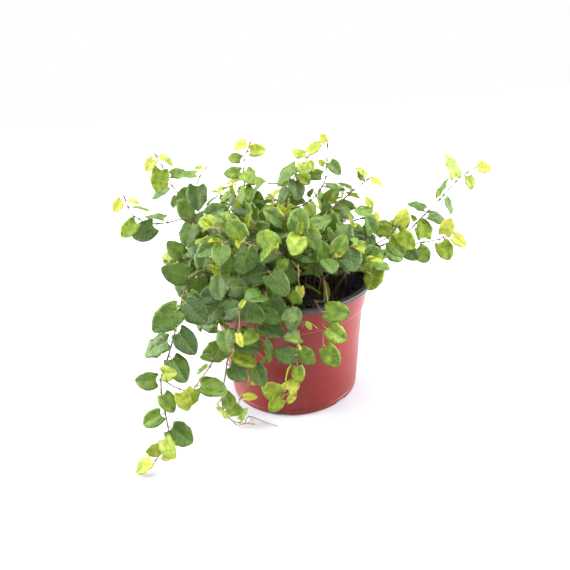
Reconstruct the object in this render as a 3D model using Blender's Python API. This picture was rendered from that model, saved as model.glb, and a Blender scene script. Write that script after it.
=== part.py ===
"""Potted creeping fig: a small trailing house plant in a 12 cm plastic nursery pot.

Lengths are in millimetres until a mesh is made, where MM turns them into metres. +Z is up, and the origin is
on the pot's axis, on the surface that the pot stands on. -Y is the plant's front.

The pot is turned, the compost fills it, and every leafy stem is grown by one rule: a smooth route, an
alternate leaf at each node of the stem, and a test that keeps each blade clear of what has grown before it.
Each stem's side shoots and leaves are joined to it, and it stands in its own hole in the compost.
"""
import math
from dataclasses import dataclass

import bmesh
import bpy
import numpy as np
from mathutils import Matrix

MM = 0.001
UP = np.array([0.0, 0.0, 1.0])

# Pot: radii and heights of its outer face
LIP_RADIUS = 60.0
POT_HEIGHT = 85.0
LIP_DROP = 2.4
BAND_HEIGHT = 19.0
BAND_TOP_RADIUS = 57.0
BAND_FOOT_RADIUS = 53.4
WALL_TOP_RADIUS = 51.9
WALL_FOOT_RADIUS = 45.3
FOOT_RADIUS = 44.3
FOOT_CHAMFER = 1.8
FOOT_WIDTH = 3.0
PAD_RADIUS = 15.0
BASE_LIFT = 1.6
WALL = 1.2
POT_SIDES = 44

# Drainage slots through the foot
SLOT_COUNT = 6
SLOT_TURN = 15.0
SLOT_WIDTH = 9.0
SLOT_HEIGHT = 2.6

# Compost, and the plain holes that the stems stand in
FIT = 0.3
SOIL_TOP = 70.0
SOIL_EDGE_DROP = 1.2
HOLE_DEPTH = 5.0
HOLE_RADIUS = 2.3
HOLE_SIDES = 4
SIDE_FIT = 0.2

# Stems
STEM_FOOT_RADIUS = 1.15
STEM_TIP_RADIUS = 0.65
SHOOT_FOOT_RADIUS = 0.85
STEM_SIDES = 4
UPRIGHT = 3.0
LONGEST_SEGMENT = 13.0
NODE_TO_BEND = 1.5
CROWDING = 0.95
STEM_GAP = 3.4
SAMPLE = 2.0

# Leaves: half widths and stations are shares of a blade's length
PETIOLE_RADIUS = 0.43
PETIOLE_SHORT = 1.6
PETIOLE_SHARE = 0.10
BELLY = (0.13, 0.38)
SHOULDER = (0.62, 0.37)
FOLD = 0.12
ARCH = 0.15
KEEL = 0.55
OUTLINE_AT = (0.0, 0.1, 0.3, 0.6, 0.85, 1.0)
OUTLINE_WIDTH = (0.15, 0.34, 0.43, 0.41, 0.26, 0.0)
LEAF_GAP = 2.2
OWN_GAP = 1.4
PETIOLE_GAP = 1.6
POT_GAP = 1.6
FLOOR_GAP = 0.9
SMALLEST_BLADE = 13.4
SMALLEST_SINGLE = 11.5
TRIES = 16
SINGLE_TRIES = 30
SEED = 11

# How much a leaf of a row may turn from the way that its shoot's leaves face, and what each try adds to it
NAMED_SPREAD = 0.25
FILLER_SPREAD = 0.45
MORE_SPREAD = 0.04

# The ways that a row's petiole and blade take: shares sideways, along the stem, and facing or upwards
PETIOLE_WAY = (0.8, 0.45, 0.35)
BLADE_WAY = (0.75, 0.5, -0.3)
BLADE_VARIES = 0.15
STALK_VARIES = 0.3

# How far a single leaf is held off its stem towards its face, and what each try adds to that and to its stalk
HELD_OFF = 0.25
MORE_OFF = 0.1
MORE_STALK = 0.08

# The picture plane of the shoots' single leaves: it leans back by this many degrees, square to the view
PICTURE_RISE = 23.0

# Filler shoots turn round the pot by the golden angle, their blades shrink towards the tip, and the crown is
# higher at its left than at its right
GOLDEN_ANGLE = 137.5
FILLER_TRIES = 24
FILLER_BLADE = 16.5
FILLER_SHRINK = 4.0
FILLER_VARIES = 0.18
DOME_SLOPE = 12.0

# The way that a filler's side shoot leaves its stem: shares along the stem, aside, outwards and upwards
FORK_WAY = (0.5, 0.75, 0.25, 0.35)
FORK_LENGTH = 30.0

# The patch of compost that stays open to a view from the front, which falls by SIGHT_SLOPE
PATCH_X = (8.0, 58.0)
PATCH_Y = (-48.0, 30.0)
SIGHT_SLOPE = 0.425


# Growth

@dataclass(frozen=True)
class Shoot:
    """A main stem, or a side shoot that leaves its stem after `joins` millimetres.

    `row` holds the blade lengths of an alternate row of leaves, whose first and last nodes are `span`
    millimetres along the shoot, None for its tip. `look` is the azimuth and elevation, in degrees, that their
    upper faces turn to; None follows the crown. `leaves` holds single leaves: how far along, blade length,
    heading in the picture plane in degrees from +X upwards, how much the end leans forward, and the roll.
    """

    stem: str
    via: tuple
    row: tuple = ()
    span: tuple = (0.0, None)
    side: int = 1
    look: tuple | None = None
    joins: float | None = None
    leaves: tuple = ()


# The shoots that the photograph shows one by one
NAMED_SHOOTS = (
    Shoot("trailer_left",
          ((-33, -22), (-38, -26, 86), (-47, -34, 104), (-56, -46, 111), (-61, -58, 107), (-65, -67, 96),
           (-67, -72, 88), (-70, -76, 81), (-74, -81, 71), (-79, -84, 61), (-80, -86, 53), (-79, -87, 37),
           (-79, -87, 24), (-85, -88, 11), (-91, -92, 4)),
          (14, 16, 17, 17, 15), (44, 77), 1, (-100, 20), leaves=(
              (84, 17.5, -47, 10, 10), (86, 10, 214, 0, 50), (88, 18.5, 219, 0, 25),
              (102, 16, -55, 10, 15), (109, 16.5, 199, 0, 35), (119, 16, -60, 0, 30),
              (129, 12, 0, 40, 0), (133, 13, 184, 0, 0), (141, 12, -60, 15, 20),
              (156, 13.3, 203, 0, 10), (165, 15.5, -38, 0, 10), (172, 14, -78, 30, 0),
              (181, 9, 196, 20, 0), (190, 11.5, 213, 0, 40), (187, 6, -20, 0, 30))),
    Shoot("trailer_left", ((-76, -87, 59), (-66, -90, 55)), joins=132, leaves=(
              (14, 11.5, -72, 0, 10),)),
    Shoot("trailer_side",
          ((-24, -26), (-27, -31, 84), (-34, -42, 99), (-39, -54, 98), (-40, -64, 86), (-40, -72, 73),
           (-47, -76, 67), (-51, -80, 62), (-60, -86, 53)),
          (14, 16), (32, 46), -1, (-105, 20), leaves=(
              (53, 15, 205, 20, 0), (61, 15, 215, 0, 10), (66, 15, 15, 45, 10),
              (76, 14, -85, 30, 20), (97, 7, 160, 0, 40), (101, 8, 205, 0, 70),
              (116, 16, -12, 0, 50), (115, 10.5, 240, 0, 10))),
    Shoot("trailer_front_left",
          ((-14, -30), (-16, -37, 86), (-22, -50, 98), (-29, -60, 91), (-34, -66, 78), (-40, -68, 62),
           (-43, -66, 49), (-48, -60, 28), (-48, -55, 10), (-41, -53, 3), (-31, -55, 3)),
          (15, 16, 16), (34, 50), 1, (-95, 15), leaves=(
              (57, 15.5, -20, 10, 35), (64, 14, 205, 20, 10), (70, 12, -50, 20, 20),
              (77, 15, -22, 10, 10), (81, 15, 183, 20, 0), (86, 15, -30, 0, 40),
              (94, 13.5, -45, 0, 10), (121, 11, -60, 0, 35), (126, 14, -58, 5, 0),
              (136, 11, -10, 10, 20), (157, 9, 60, 0, 50))),
    Shoot("trailer_middle",
          ((-8, -22), (-9, -32, 86), (-12, -46, 99), (-15, -58, 98), (-19, -66, 90), (-20, -67, 82),
           (-21, -66, 73), (-23, -64, 63), (-26, -62, 54), (-28, -61, 47), (-30, -60, 37)),
          (16, 17, 17), (30, 48), -1, (-95, 18), leaves=(
              (54, 19, -58, 10, 15), (63, 15, 195, 10, 20), (68, 12, -30, 20, 20),
              (76, 15, -28, 0, 20), (81, 11, 205, 20, 20), (86, 14, -75, 20, 40),
              (96, 11, -45, 15, 10), (108, 13.4, -62, 0, 20), (113, 8, 200, 0, 30),
              (123, 9, 10, 0, 30))),
    Shoot("trailer_front",
          ((-1, -28), (-1, -35, 86), (0, -48, 96), (1, -58, 93), (4, -64, 81), (3, -65, 76), (3, -64, 70),
           (3, -63, 63), (2, -61, 51), (1, -59, 38), (-1, -58, 28), (-5, -58, 24), (-9, -58, 24)),
          (16, 16), (34, 46), -1, (-92, 20), leaves=(
              (55, 13.5, -95, 30, 10), (60, 12, 195, 20, 20), (78, 12, 140, 0, 60),
              (88, 13.5, 118, 0, 50), (85, 12, -45, 0, 10), (94, 8, 108, 0, 60),
              (97, 10.5, -88, 0, 10), (99, 11, -118, 0, 60), (123, 11.5, 38, 20, 25),
              (128, 7.5, 60, 0, 30), (131, 13.5, 152, 0, 0), (132, 11, -128, 0, 30))),
    Shoot("trailer_front_right",
          ((15, -22), (15, -36, 80), (15.5, -50, 89), (17, -60, 90), (19.5, -64.5, 84), (20, -64.5, 76),
           (19.5, -62.5, 67), (18.5, -61, 60)),
          leaves=(
              (30, 13.5, 52, 20, 10), (58, 14.5, -10, 0, 35), (68, 13.5, -33, 0, 20),
              (81, 14.5, -62, 0, 0))),
    Shoot("spray_upper_left",
          ((-28, -2), (-38, -1, 100), (-49, 0, 126), (-58, 0, 140), (-68, 0, 149), (-72, 0, 158),
           (-75, 0, 168), (-79, 0, 177)),
          (14, 16, 16), (40, 58), 1, (-110, 30), leaves=(
              (66, 15, 197, 10, 10), (73, 14, 20, 20, 10), (80, 15, -100, 10, 10),
              (91, 14, -70, 30, 10), (96, 8, 240, 0, 30), (103, 13.5, 207, 0, 45),
              (110, 11, 5, 0, 30), (116, 14.5, -103, 10, 0), (124, 9.5, 228, 0, 20),
              (125, 10.5, -30, 0, 60))),
    Shoot("spray_upper_left", ((-54, -4, 156), (-50, -5, 162), (-46, -5, 167)), joins=82, leaves=(
              (11, 12, 200, 20, 10), (19, 16, -93, 10, 10), (23, 13.5, 175, 0, 40),
              (30, 5.5, 175, 0, 40))),
    Shoot("spray_far_left",
          ((-33, -8), (-42, -9, 100), (-50, -12, 126), (-62, -13, 136), (-76, -14, 134), (-88, -15, 135),
           (-96, -16, 141), (-99, -17, 155)),
          (15, 16, 16, 15), (40, 68), -1, (-100, 35), leaves=(
              (76, 15, -110, 20, 20), (95, 14.5, 163, 0, 55), (100, 16, 205, 5, 10),
              (113, 13.3, 222, 0, 15), (124, 11.5, -12, 0, 80), (129, 7, -15, 0, 50),
              (131, 9, 228, 0, 15))),
    Shoot("shoot_top",
          ((-14, 10), (-20, 9, 100), (-23, 7, 127), (-24, 7, 142), (-24, 8, 156), (-23, 10, 166),
           (-17, 10, 178)),
          (14, 15, 15, 15), (44, 68), 1, (-95, 30), leaves=(
              (78, 14, 228, 10, 20), (80, 12, -20, 30, 20), (86, 13, -75, 40, 0),
              (88, 12, 8, 0, 45), (91, 9.5, 190, 0, 60), (95, 11, 178, 0, 15),
              (97, 12.5, -60, 40, 0), (104, 9, 165, 0, 20), (109, 10.5, 5, 0, 10),
              (116, 9.5, 190, 0, 30))),
    Shoot("shoot_middle",
          ((2, 8), (-2, 9, 100), (1, 10, 122), (2, 11, 133), (5, 12, 140), (10, 14, 153), (14, 14, 158),
           (21, 15, 165)),
          (15, 15), (46, 54), -1, (-90, 30), leaves=(
              (72, 10, -10, 0, 40), (78, 9, 5, 0, 70), (84, 13.3, 232, 0, 50),
              (88, 14.5, -100, 10, 0), (94, 10.5, -65, 0, 10), (99, 17.5, 213, 0, 45),
              (100, 10.5, 95, 0, 10), (101, 10.5, -62, 0, 25), (105, 7.5, -65, 0, 30),
              (106, 11, 45, 0, 35))),
    Shoot("shoot_middle",
          ((10, 10, 131), (18, 10, 133), (26, 10, 140), (30, 10, 146), (32, 10, 156), (32, 10, 168),
           (33, 10, 173)), joins=66, leaves=(
              (19, 6.5, 60, 0, 20), (32, 13.3, -8, 0, 55), (39, 11, 175, 0, 20),
              (46, 5, 130, 0, 20), (51, 11, -50, 0, 10), (60, 6, -35, 0, 75),
              (61, 6.5, 110, 0, 20))),
    Shoot("shoot_right",
          ((18, 4), (23, 0, 100), (27, 0, 123), (35, 0, 132), (40, 0, 136), (51, 0, 145), (59, 0, 150)),
          (14, 15), (46, 56), 1, (-80, 45), leaves=(
              (66, 8, 100, 20, 10), (68, 8.5, -50, 0, 60), (71, 10, -12, 0, 60),
              (85, 10, 178, 0, 50), (90, 10, 150, 0, 60), (96, 7.5, 100, 0, 40),
              (100, 8.5, 140, 0, 45), (101, 8, -20, 0, 30))),
    Shoot("arch_right",
          ((34, 2), (42, 2, 84), (54, 1, 97), (68, 0, 103), (80, 0, 108), (88, 0, 114), (95, 0, 122),
           (104, 0, 130), (111, 0, 138), (118, 0, 145), (122, 0, 151), (129, 0, 152)),
          (15, 15), (44, 54), 1, (-85, 28), leaves=(
              (80, 5, -60, 0, 20), (82, 5, 110, 0, 20), (90, 15, -22, 0, 40),
              (93, 12, 150, 0, 45), (104, 14, 62, 0, 75), (108, 11.5, -68, 0, 45),
              (120, 17, 102, 0, 40), (129, 9.5, -75, 0, 20),
              (135, 9.5, 0, 0, 10))),
    Shoot("arch_right",
          ((76, -6, 104), (87, -8, 105), (97, -8, 106), (104, -9, 107), (112, -9, 110)), joins=62, leaves=(
              (8, 12, -42, 0, 20), (17, 13.5, -40, 0, 5), (23, 13.3, 78, 10, 0),
              (33, 13.3, -63, 0, 5), (37, 11.5, 72, 0, 15), (42, 11, -35, 0, 15))),
    Shoot("cluster_right",
          ((30, -12), (36, -14, 84), (44, -16, 97), (52, -16, 106), (60, -16, 110), (68, -16, 113),
           (74, -16, 121)),
          (15,), (28, 30), 1, (-75, 38), leaves=(
              (40, 17, 60, 20, 0), (50, 17, -33, 10, 0), (66, 13.5, -50, 0, 5),
              (71, 10.5, 160, 0, 0), (72, 13.3, 35, -20, 10), (74, 14.5, -36, 0, 0),
              (76, 11.5, 83, 0, 25))),
    Shoot("cluster_right", ((54, -16, 118), (58, -16, 128), (58, -16, 135)), joins=50, leaves=(
              (5, 11, 170, 0, 30), (8, 11, -5, 10, 0), (10, 15, 135, 40, 0),
              (14, 12, 160, 0, 30), (21, 12, 160, 20, 0), (27, 6.5, -60, 0, 40),
              (28, 7, 120, 0, 30))),
    Shoot("cluster_right", ((57, -24, 100), (60, -34, 93)), joins=36, leaves=(
              (21, 14.5, 228, 0, 20),)),
    Shoot("apron_left",
          ((-19, -20), (-22, -26, 84), (-28, -37, 97), (-34, -46, 105), (-40, -54, 112)),
          (16, 17, 18, 17, 16), (20, None), -1, (-105, 42)),
    Shoot("apron_middle",
          ((-6, -16), (-7, -21, 84), (-9, -33, 97), (-10, -45, 106), (-11, -56, 112)),
          (16, 17, 17), (20, 46), 1, (-92, 42), leaves=(
              (60, 17.5, 185, 0, 20), (65, 17, -55, 25, 0))),
    Shoot("apron_front",
          ((8, -15), (9, -24, 82), (9, -36, 88), (8, -45, 94), (6.5, -52, 103), (7, -56, 113)),
          (14,), (14, 16), -1, (-88, 38), leaves=(
              (34, 13.4, -80, 20, 30), (38, 11, -50, 0, 60), (54, 9, -97, 0, 40),
              (60, 8.5, 115, 0, 50))),
)

# Filler shoots: how many rise in the crown and in the bush round it, and where those over the rim end
CROWN_COUNT = 5
BUSH_COUNT = 10
RIM_AZIMUTHS = (22, 62, 100, 128, 152, 176, 198, 216, 234, 250)
RIM_ENDS = ((76, 84), (82, 74), (84, 66), (84, 58), (78, 70), (70, 66), (67, 72), (67, 76), (67, 82),
            (68, 86))


def unit(vector):
    """Scales a vector to length 1."""
    vector = np.asarray(vector, float)
    return vector / max(np.linalg.norm(vector), 1e-9)


def aim(azimuth, elevation):
    """Gives the direction at an azimuth from +X and an elevation, in degrees."""
    around, rise = math.radians(azimuth), math.radians(elevation)
    return np.array([math.cos(around) * math.cos(rise), math.sin(around) * math.cos(rise), math.sin(rise)])


def at_radius(azimuth, radius, height):
    """Gives the point at an azimuth, in degrees, a radius and a height."""
    return np.append(radius * aim(azimuth, 0)[:2], height)


def lengths_along(points):
    """Gives the distance along a row of points to each of them."""
    return np.concatenate([[0.0], np.cumsum(np.linalg.norm(np.diff(points, axis=0), axis=1))])


def read_at(points, distances):
    """Reads a row of points at distances along it."""
    along = lengths_along(points)
    return np.stack([np.interp(distances, along, points[:, axis]) for axis in range(3)], axis=-1)


def smooth_route(via):
    """Runs a Catmull-Rom curve through the points, with 16 steps in each stretch."""
    points = np.array(via, float)
    points = np.vstack([2 * points[0] - points[1], points, 2 * points[-1] - points[-2]])
    t = np.linspace(0, 1, 17)[:-1, None]
    stretches = []
    for a, b, c, d in zip(points, points[1:], points[2:], points[3:]):
        stretches.append(0.5 * (2 * b + (c - a) * t + (2 * a - 5 * b + 4 * c - d) * t**2
                                + (3 * b - a - 3 * c + d) * t**3))
    return np.vstack(stretches + [points[-2:-1]])


def planted(via):
    """Puts a stem's foot in its hole: the first point gives X and Y, and the stem leaves the compost upright."""
    x, y = via[0]
    foot = SOIL_TOP - SOIL_EDGE_DROP - HOLE_DEPTH + 2 * FIT
    return ((x, y, foot), (x, y, foot + HOLE_DEPTH), (x, y, SOIL_TOP + UPRIGHT)) + tuple(via[1:])


class Crowd:
    """Sample points of what has grown so far, each with the number of the stem that it belongs to."""

    def __init__(self):
        self.points = np.zeros((0, 3))
        self.owners = np.zeros(0, int)

    def add(self, points, owner):
        self.points = np.vstack([self.points, points])
        self.owners = np.concatenate([self.owners, np.full(len(points), owner)])

    def is_clear(self, points, gap, owner=None):
        """Tests that every point is `gap` or more from those of the others."""
        near = ((self.points > points.min(0) - gap) & (self.points < points.max(0) + gap)).all(axis=1)
        if owner is not None:
            near &= self.owners != owner
        others = self.points[near]
        if not len(others):
            return True
        return ((points[:, None] - others[None]) ** 2).sum(axis=-1).min() >= gap * gap


def clear_of_pot(points, gap):
    """Tests that every point is outside the pot's wall and lip, above the compost and above the floor."""
    radius = np.hypot(points[:, 0], points[:, 1])
    height = points[:, 2]
    band_foot = POT_HEIGHT - BAND_HEIGHT
    wall = np.where(height > band_foot, BAND_TOP_RADIUS + WALL,
                    WALL_FOOT_RADIUS + (WALL_TOP_RADIUS - WALL_FOOT_RADIUS) * height / band_foot)
    above = height > POT_HEIGHT + gap
    beside = (radius > wall + gap) & ((radius > LIP_RADIUS + gap) | (height < POT_HEIGHT - LIP_DROP - gap))
    within = (radius < WALL_TOP_RADIUS - WALL - gap) & (height > SOIL_TOP + gap)
    return bool(((above | beside | within) & (height > FLOOR_GAP)).all())


@dataclass
class Stem:
    """A grown shoot: its spine's points, their directions and radii, and its leaf nodes along the spine."""

    shoot: Shoot
    owner: int
    spine: np.ndarray
    along: np.ndarray
    radii: np.ndarray
    nodes: np.ndarray
    node_along: np.ndarray

    def samples(self):
        """Gives a point every SAMPLE along the spine."""
        reach = lengths_along(self.spine)
        return read_at(self.spine, np.linspace(0, reach[-1], max(2, int(reach[-1] / SAMPLE))))

    def place_of(self, distance):
        """Gives the number of the spine's point nearest to a distance along it."""
        return int(np.argmin(abs(lengths_along(self.spine) - distance)))


def grow_stem(shoot, owner, start=None, foot_radius=STEM_FOOT_RADIUS, forks=()):
    """Reads a shoot's route at its forks and at enough points between them, and sets its leaf nodes."""
    via = planted(shoot.via) if start is None else (tuple(start),) + tuple(shoot.via)
    curve = smooth_route(via)
    reach = lengths_along(curve)[-1]
    upright = (HOLE_DEPTH + UPRIGHT,) if start is None else ()
    stations = [0.0]
    for knot in sorted((*upright, *forks, reach)):
        steps = max(1, math.ceil((knot - stations[-1]) / LONGEST_SEGMENT))
        stations.extend(np.linspace(stations[-1], knot, steps + 1)[1:].tolist())
    stations = np.array(stations)
    spine = read_at(curve, stations)
    ahead = read_at(curve, np.minimum(stations + 1.0, reach))
    behind = read_at(curve, np.maximum(stations - 1.0, 0.0))
    along = (ahead - behind) / np.linalg.norm(ahead - behind, axis=1)[:, None]
    radii = foot_radius + (STEM_TIP_RADIUS - foot_radius) * stations / reach
    bends = lengths_along(spine)
    first, last = shoot.span
    row = first + ((last or bends[-1]) - first) * np.linspace(0, 1, len(shoot.row)) ** CROWDING
    nodes = np.concatenate([row, [leaf[0] * bends[-1] / reach for leaf in shoot.leaves]])
    segments = np.clip(np.searchsorted(bends, nodes, side="right") - 1, 0, len(bends) - 2)
    nodes = np.clip(nodes, bends[segments] + NODE_TO_BEND, bends[segments + 1] - NODE_TO_BEND)
    node_along = np.diff(spine, axis=0)[segments] / np.diff(bends)[segments, None]
    return Stem(shoot, owner, spine, along, radii, read_at(spine, nodes), node_along)


@dataclass
class Leaf:
    """A leaf: where its petiole leaves the stem, where the blade starts, its axes and its length."""

    owner: int
    root: np.ndarray
    hinge: np.ndarray
    along: np.ndarray
    up: np.ndarray
    length: float
    single: bool = False

    def is_large(self):
        """Tells whether the blade is long enough to be built."""
        return self.length >= (SMALLEST_SINGLE if self.single else SMALLEST_BLADE)

    def blade_samples(self):
        """Spreads 9 by 7 points over the blade: it folds up from its midrib and arches down to its tip."""
        t, s = np.meshgrid(np.linspace(0, 1, 9), np.linspace(-1, 1, 7), indexing="ij")
        width = s * np.interp(t, OUTLINE_AT, OUTLINE_WIDTH)
        across = np.cross(self.up, self.along)
        points = (self.along * t[..., None] + across * width[..., None]
                  + self.up * (FOLD * abs(width) - ARCH * t * t)[..., None])
        return (self.hinge + self.length * points).reshape(-1, 3)

    def petiole_samples(self):
        """Gives three points along the petiole, past the stem."""
        return self.root + np.linspace(0.4, 0.95, 3)[:, None] * (self.hinge - self.root)


def facing(look, point, along):
    """Gives the way that a leaf's upper face turns: outwards on a hanging stem, more upwards on a rising one."""
    if look:
        return aim(*look)
    outward = unit([point[0], point[1], 0.0])
    rise = 0.35 + 0.75 * min(1.0, max(0.0, (along[2] + 0.5) / 0.9))
    return unit(0.8 * outward + 0.25 * aim(-90, 0) + rise * UP)


def hides_patch(points):
    """Tests whether any point hides the open patch of compost from the front."""
    behind = points[:, 1] + (points[:, 2] - SOIL_TOP) / SIGHT_SLOPE
    beside = (points[:, 0] > PATCH_X[0]) & (points[:, 0] < PATCH_X[1])
    return bool((beside & (behind > PATCH_Y[0]) & (behind < PATCH_Y[1])).any())


def is_free(leaf, crowd):
    """Tests that a leaf is clear of the pot, the floor and what has grown before it."""
    blade = leaf.blade_samples()
    return (clear_of_pot(blade, POT_GAP) and crowd.is_clear(blade, LEAF_GAP, leaf.owner)
            and crowd.is_clear(blade, OWN_GAP) and crowd.is_clear(leaf.petiole_samples(), PETIOLE_GAP, leaf.owner))


def grow_leaf(stem, index, number, crowd):
    """Tries a row's leaf, turned a little more at each try and at last smaller, until it is free."""
    base, along = stem.nodes[number], stem.node_along[number]
    length = stem.shoot.row[number]
    look = stem.shoot.look
    face = facing(look, base, along)
    spread = NAMED_SPREAD if look else FILLER_SPREAD
    for attempt in range(TRIES):
        draw = np.random.default_rng([SEED, index, number, attempt]).uniform(-1, 1, 6)
        tilted = unit(face + draw[:3] * (spread + MORE_SPREAD * attempt))
        side = stem.shoot.side * (-1) ** number * (-1 if attempt % 5 == 4 else 1)
        sideways = unit(np.cross(tilted, along)) * side
        stalk = (PETIOLE_SHORT + PETIOLE_SHARE * length) * (1 + STALK_VARIES * draw[3])
        aside, ahead, facewards = PETIOLE_WAY
        hinge = base + unit(aside * sideways + ahead * along + facewards * tilted) * stalk
        aside, ahead, upwards = BLADE_WAY
        heading = aside * sideways + (ahead + STALK_VARIES * draw[4]) * along + upwards * UP
        heading = unit(heading + draw[3:] * BLADE_VARIES)
        up = unit(tilted - heading * (tilted @ heading))
        size = length * min(1.0, 1.2 - 0.04 * attempt)
        leaf = Leaf(stem.owner, base, hinge, heading, up, size)
        if is_free(leaf, crowd) and not hides_patch(leaf.blade_samples()):
            return leaf
    return None


def pointing(turn, lean):
    """Gives the direction at an angle in the picture plane, from +X upwards, that leans out of it, in degrees."""
    turn, lean = math.radians(turn), math.radians(lean)
    front = aim(-90, PICTURE_RISE)
    upward = np.cross(front, (1.0, 0.0, 0.0))
    flat = math.cos(turn) * np.array([1.0, 0.0, 0.0]) + math.sin(turn) * upward
    return math.cos(lean) * flat + math.sin(lean) * front


def set_leaf(stem, index, number, crowd):
    """Sets a single leaf as its shoot lists it, or turned by some more degrees at each try until it is free."""
    _, length, turn, lean, roll = stem.shoot.leaves[number]
    base = stem.nodes[len(stem.shoot.row) + number]
    front = aim(-90, PICTURE_RISE)
    for attempt in range(SINGLE_TRIES):
        draw = np.random.default_rng([SEED, 2, index, number, attempt]).uniform(-1, 1, 3) * attempt
        heading = pointing(turn + 3 * draw[0], lean + 4 * draw[1])
        stalk = (PETIOLE_SHORT + PETIOLE_SHARE * length) * (1 + MORE_STALK * attempt)
        rolled = math.radians(roll + 5 * draw[2])
        level = unit(front - heading * (front @ heading))
        edge = np.cross(heading, level)
        edge *= math.copysign(1.0, edge @ (math.copysign(0.3, base[0]), 0.0, 1.0))
        up = math.cos(rolled) * level + math.sin(rolled) * edge
        held = unit(heading + (HELD_OFF + MORE_OFF * attempt) * up)
        leaf = Leaf(stem.owner, base, base + held * stalk, heading, up, length, single=True)
        if is_free(leaf, crowd):
            return leaf
    return None


def arching_route(azimuth, foot, middle, top, reach, end_height, hang=None, swirl=10.0):
    """Gives a filler stem's route: up from its foot, over at `top`, out to `reach`, and down where it hangs."""
    via = [at_radius(azimuth, foot, 0)[:2], at_radius(azimuth, foot + 2, 84),
           at_radius(azimuth + swirl * 0.4, foot * 0.35 + middle * 0.65, top - 8),
           at_radius(azimuth + swirl * 0.8, middle * 0.45 + reach * 0.55, top),
           at_radius(azimuth + swirl, reach, end_height)]
    if hang:
        hang_radius, hang_height = hang
        via.append(at_radius(azimuth + swirl * 1.1, (reach + hang_radius) / 2 + 3, (end_height + hang_height) / 2))
        via.append(at_radius(azimuth + swirl * 1.2, hang_radius, hang_height))
    return tuple(tuple(point) for point in via)


def filler_plans():
    """Lists the filler stems: name, route sizes, leaf count, first leaf and where side shoots leave."""
    plans = []
    for k in range(CROWN_COUNT):
        azimuth = 60 + GOLDEN_ANGLE * k
        higher = DOME_SLOPE * -aim(azimuth, 0)[0]
        sizes = {"azimuth": azimuth, "foot": 6 + 3 * (k % 3), "middle": 14 + 5 * (k % 3),
                 "top": 116 + 4 * (k % 4) + higher, "reach": 24 + 7 * (k % 3),
                 "end_height": 130 + 4 * (k % 3) + higher, "swirl": 24 * (-1) ** k}
        plans.append((f"crown_{k + 1}", sizes, 8, 28, (0.45, 0.65), 0.15))
    for k in range(BUSH_COUNT):
        azimuth = 15 + GOLDEN_ANGLE * k
        higher = DOME_SLOPE * -aim(azimuth, 0)[0]
        sizes = {"azimuth": azimuth, "foot": 17 + 4 * (k % 3), "middle": 36 + 3 * (k % 3),
                 "top": 107 + 5 * (k % 4) + higher, "reach": 52 + 6 * (k % 3),
                 "end_height": 110 + 6 * (k % 4) + higher, "swirl": 18 * (-1) ** k}
        plans.append((f"bush_{k + 1:02d}", sizes, 8, 26, (0.5, 0.7), 0.15))
    for k, (azimuth, hang) in enumerate(zip(RIM_AZIMUTHS, RIM_ENDS)):
        sizes = {"azimuth": azimuth, "foot": 34 + 3 * (k % 2), "middle": 50, "top": 104,
                 "reach": min(70, hang[0] - 8), "end_height": 97, "hang": hang, "swirl": 8 * (-1) ** k}
        plans.append((f"rim_{k + 1:02d}", sizes, 9, 26, (0.5,), -0.8))
    return plans


def blade_lengths(count, draw):
    """Gives the blade lengths of a filler's row, which shrink towards the tip."""
    lengths = FILLER_BLADE - FILLER_SHRINK * np.linspace(0, 1, count) ** 3
    varied = lengths * (1 - FILLER_VARIES + 2 * FILLER_VARIES * draw.random(count))
    return tuple(varied.round(1).tolist())


def fork_shoot(stem, place, number, lift, crowd, draw):
    """Finds a clear side shoot of a filler stem: aside and outwards from its fork, then up or down."""
    start, along = stem.spine[place], stem.along[place]
    outward = unit([start[0], start[1], 0.01])
    aside = np.array([-outward[1], outward[0], 0.0])
    for attempt in range(TRIES):
        turn = (-1) ** (number + stem.owner + attempt)
        with_stem, sideways, outwards, upwards = FORK_WAY
        first = unit(with_stem * along + aside * turn * (sideways + 0.05 * attempt) + outwards * outward
                     + (upwards - 0.08 * attempt) * UP)
        length = FORK_LENGTH + 5 * ((stem.owner + number) % 3) - attempt
        middle = start + first * length / 2
        end = middle + unit(first + 0.35 * outward + lift * UP) * length / 2
        shoot = Shoot(stem.shoot.stem, (tuple(middle), tuple(end)), blade_lengths(6, draw), (8, None),
                      1 - 2 * (number % 2))
        side = grow_stem(shoot, stem.owner, start, SHOOT_FOOT_RADIUS)
        beyond = side.samples()[3:]
        if crowd.is_clear(beyond, STEM_GAP, stem.owner) and clear_of_pot(beyond, STEM_GAP):
            return side
    return None


def grow_named(crowd, mains):
    """Grows the named stems and their side shoots; `mains` takes the main ones by name."""
    stems = []
    for shoot in NAMED_SHOOTS:
        if shoot.joins is None:
            forks = tuple(float(s.joins) for s in NAMED_SHOOTS if s.stem == shoot.stem and s.joins)
            stem = grow_stem(shoot, len(mains), forks=forks)
            mains[shoot.stem] = stem
            crowd.add(stem.samples(), stem.owner)
        else:
            main = mains[shoot.stem]
            start = main.spine[main.place_of(shoot.joins)]
            stem = grow_stem(shoot, main.owner, start, SHOOT_FOOT_RADIUS)
            crowd.add(stem.samples()[2:], stem.owner)
        stems.append(stem)
    return stems


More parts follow.
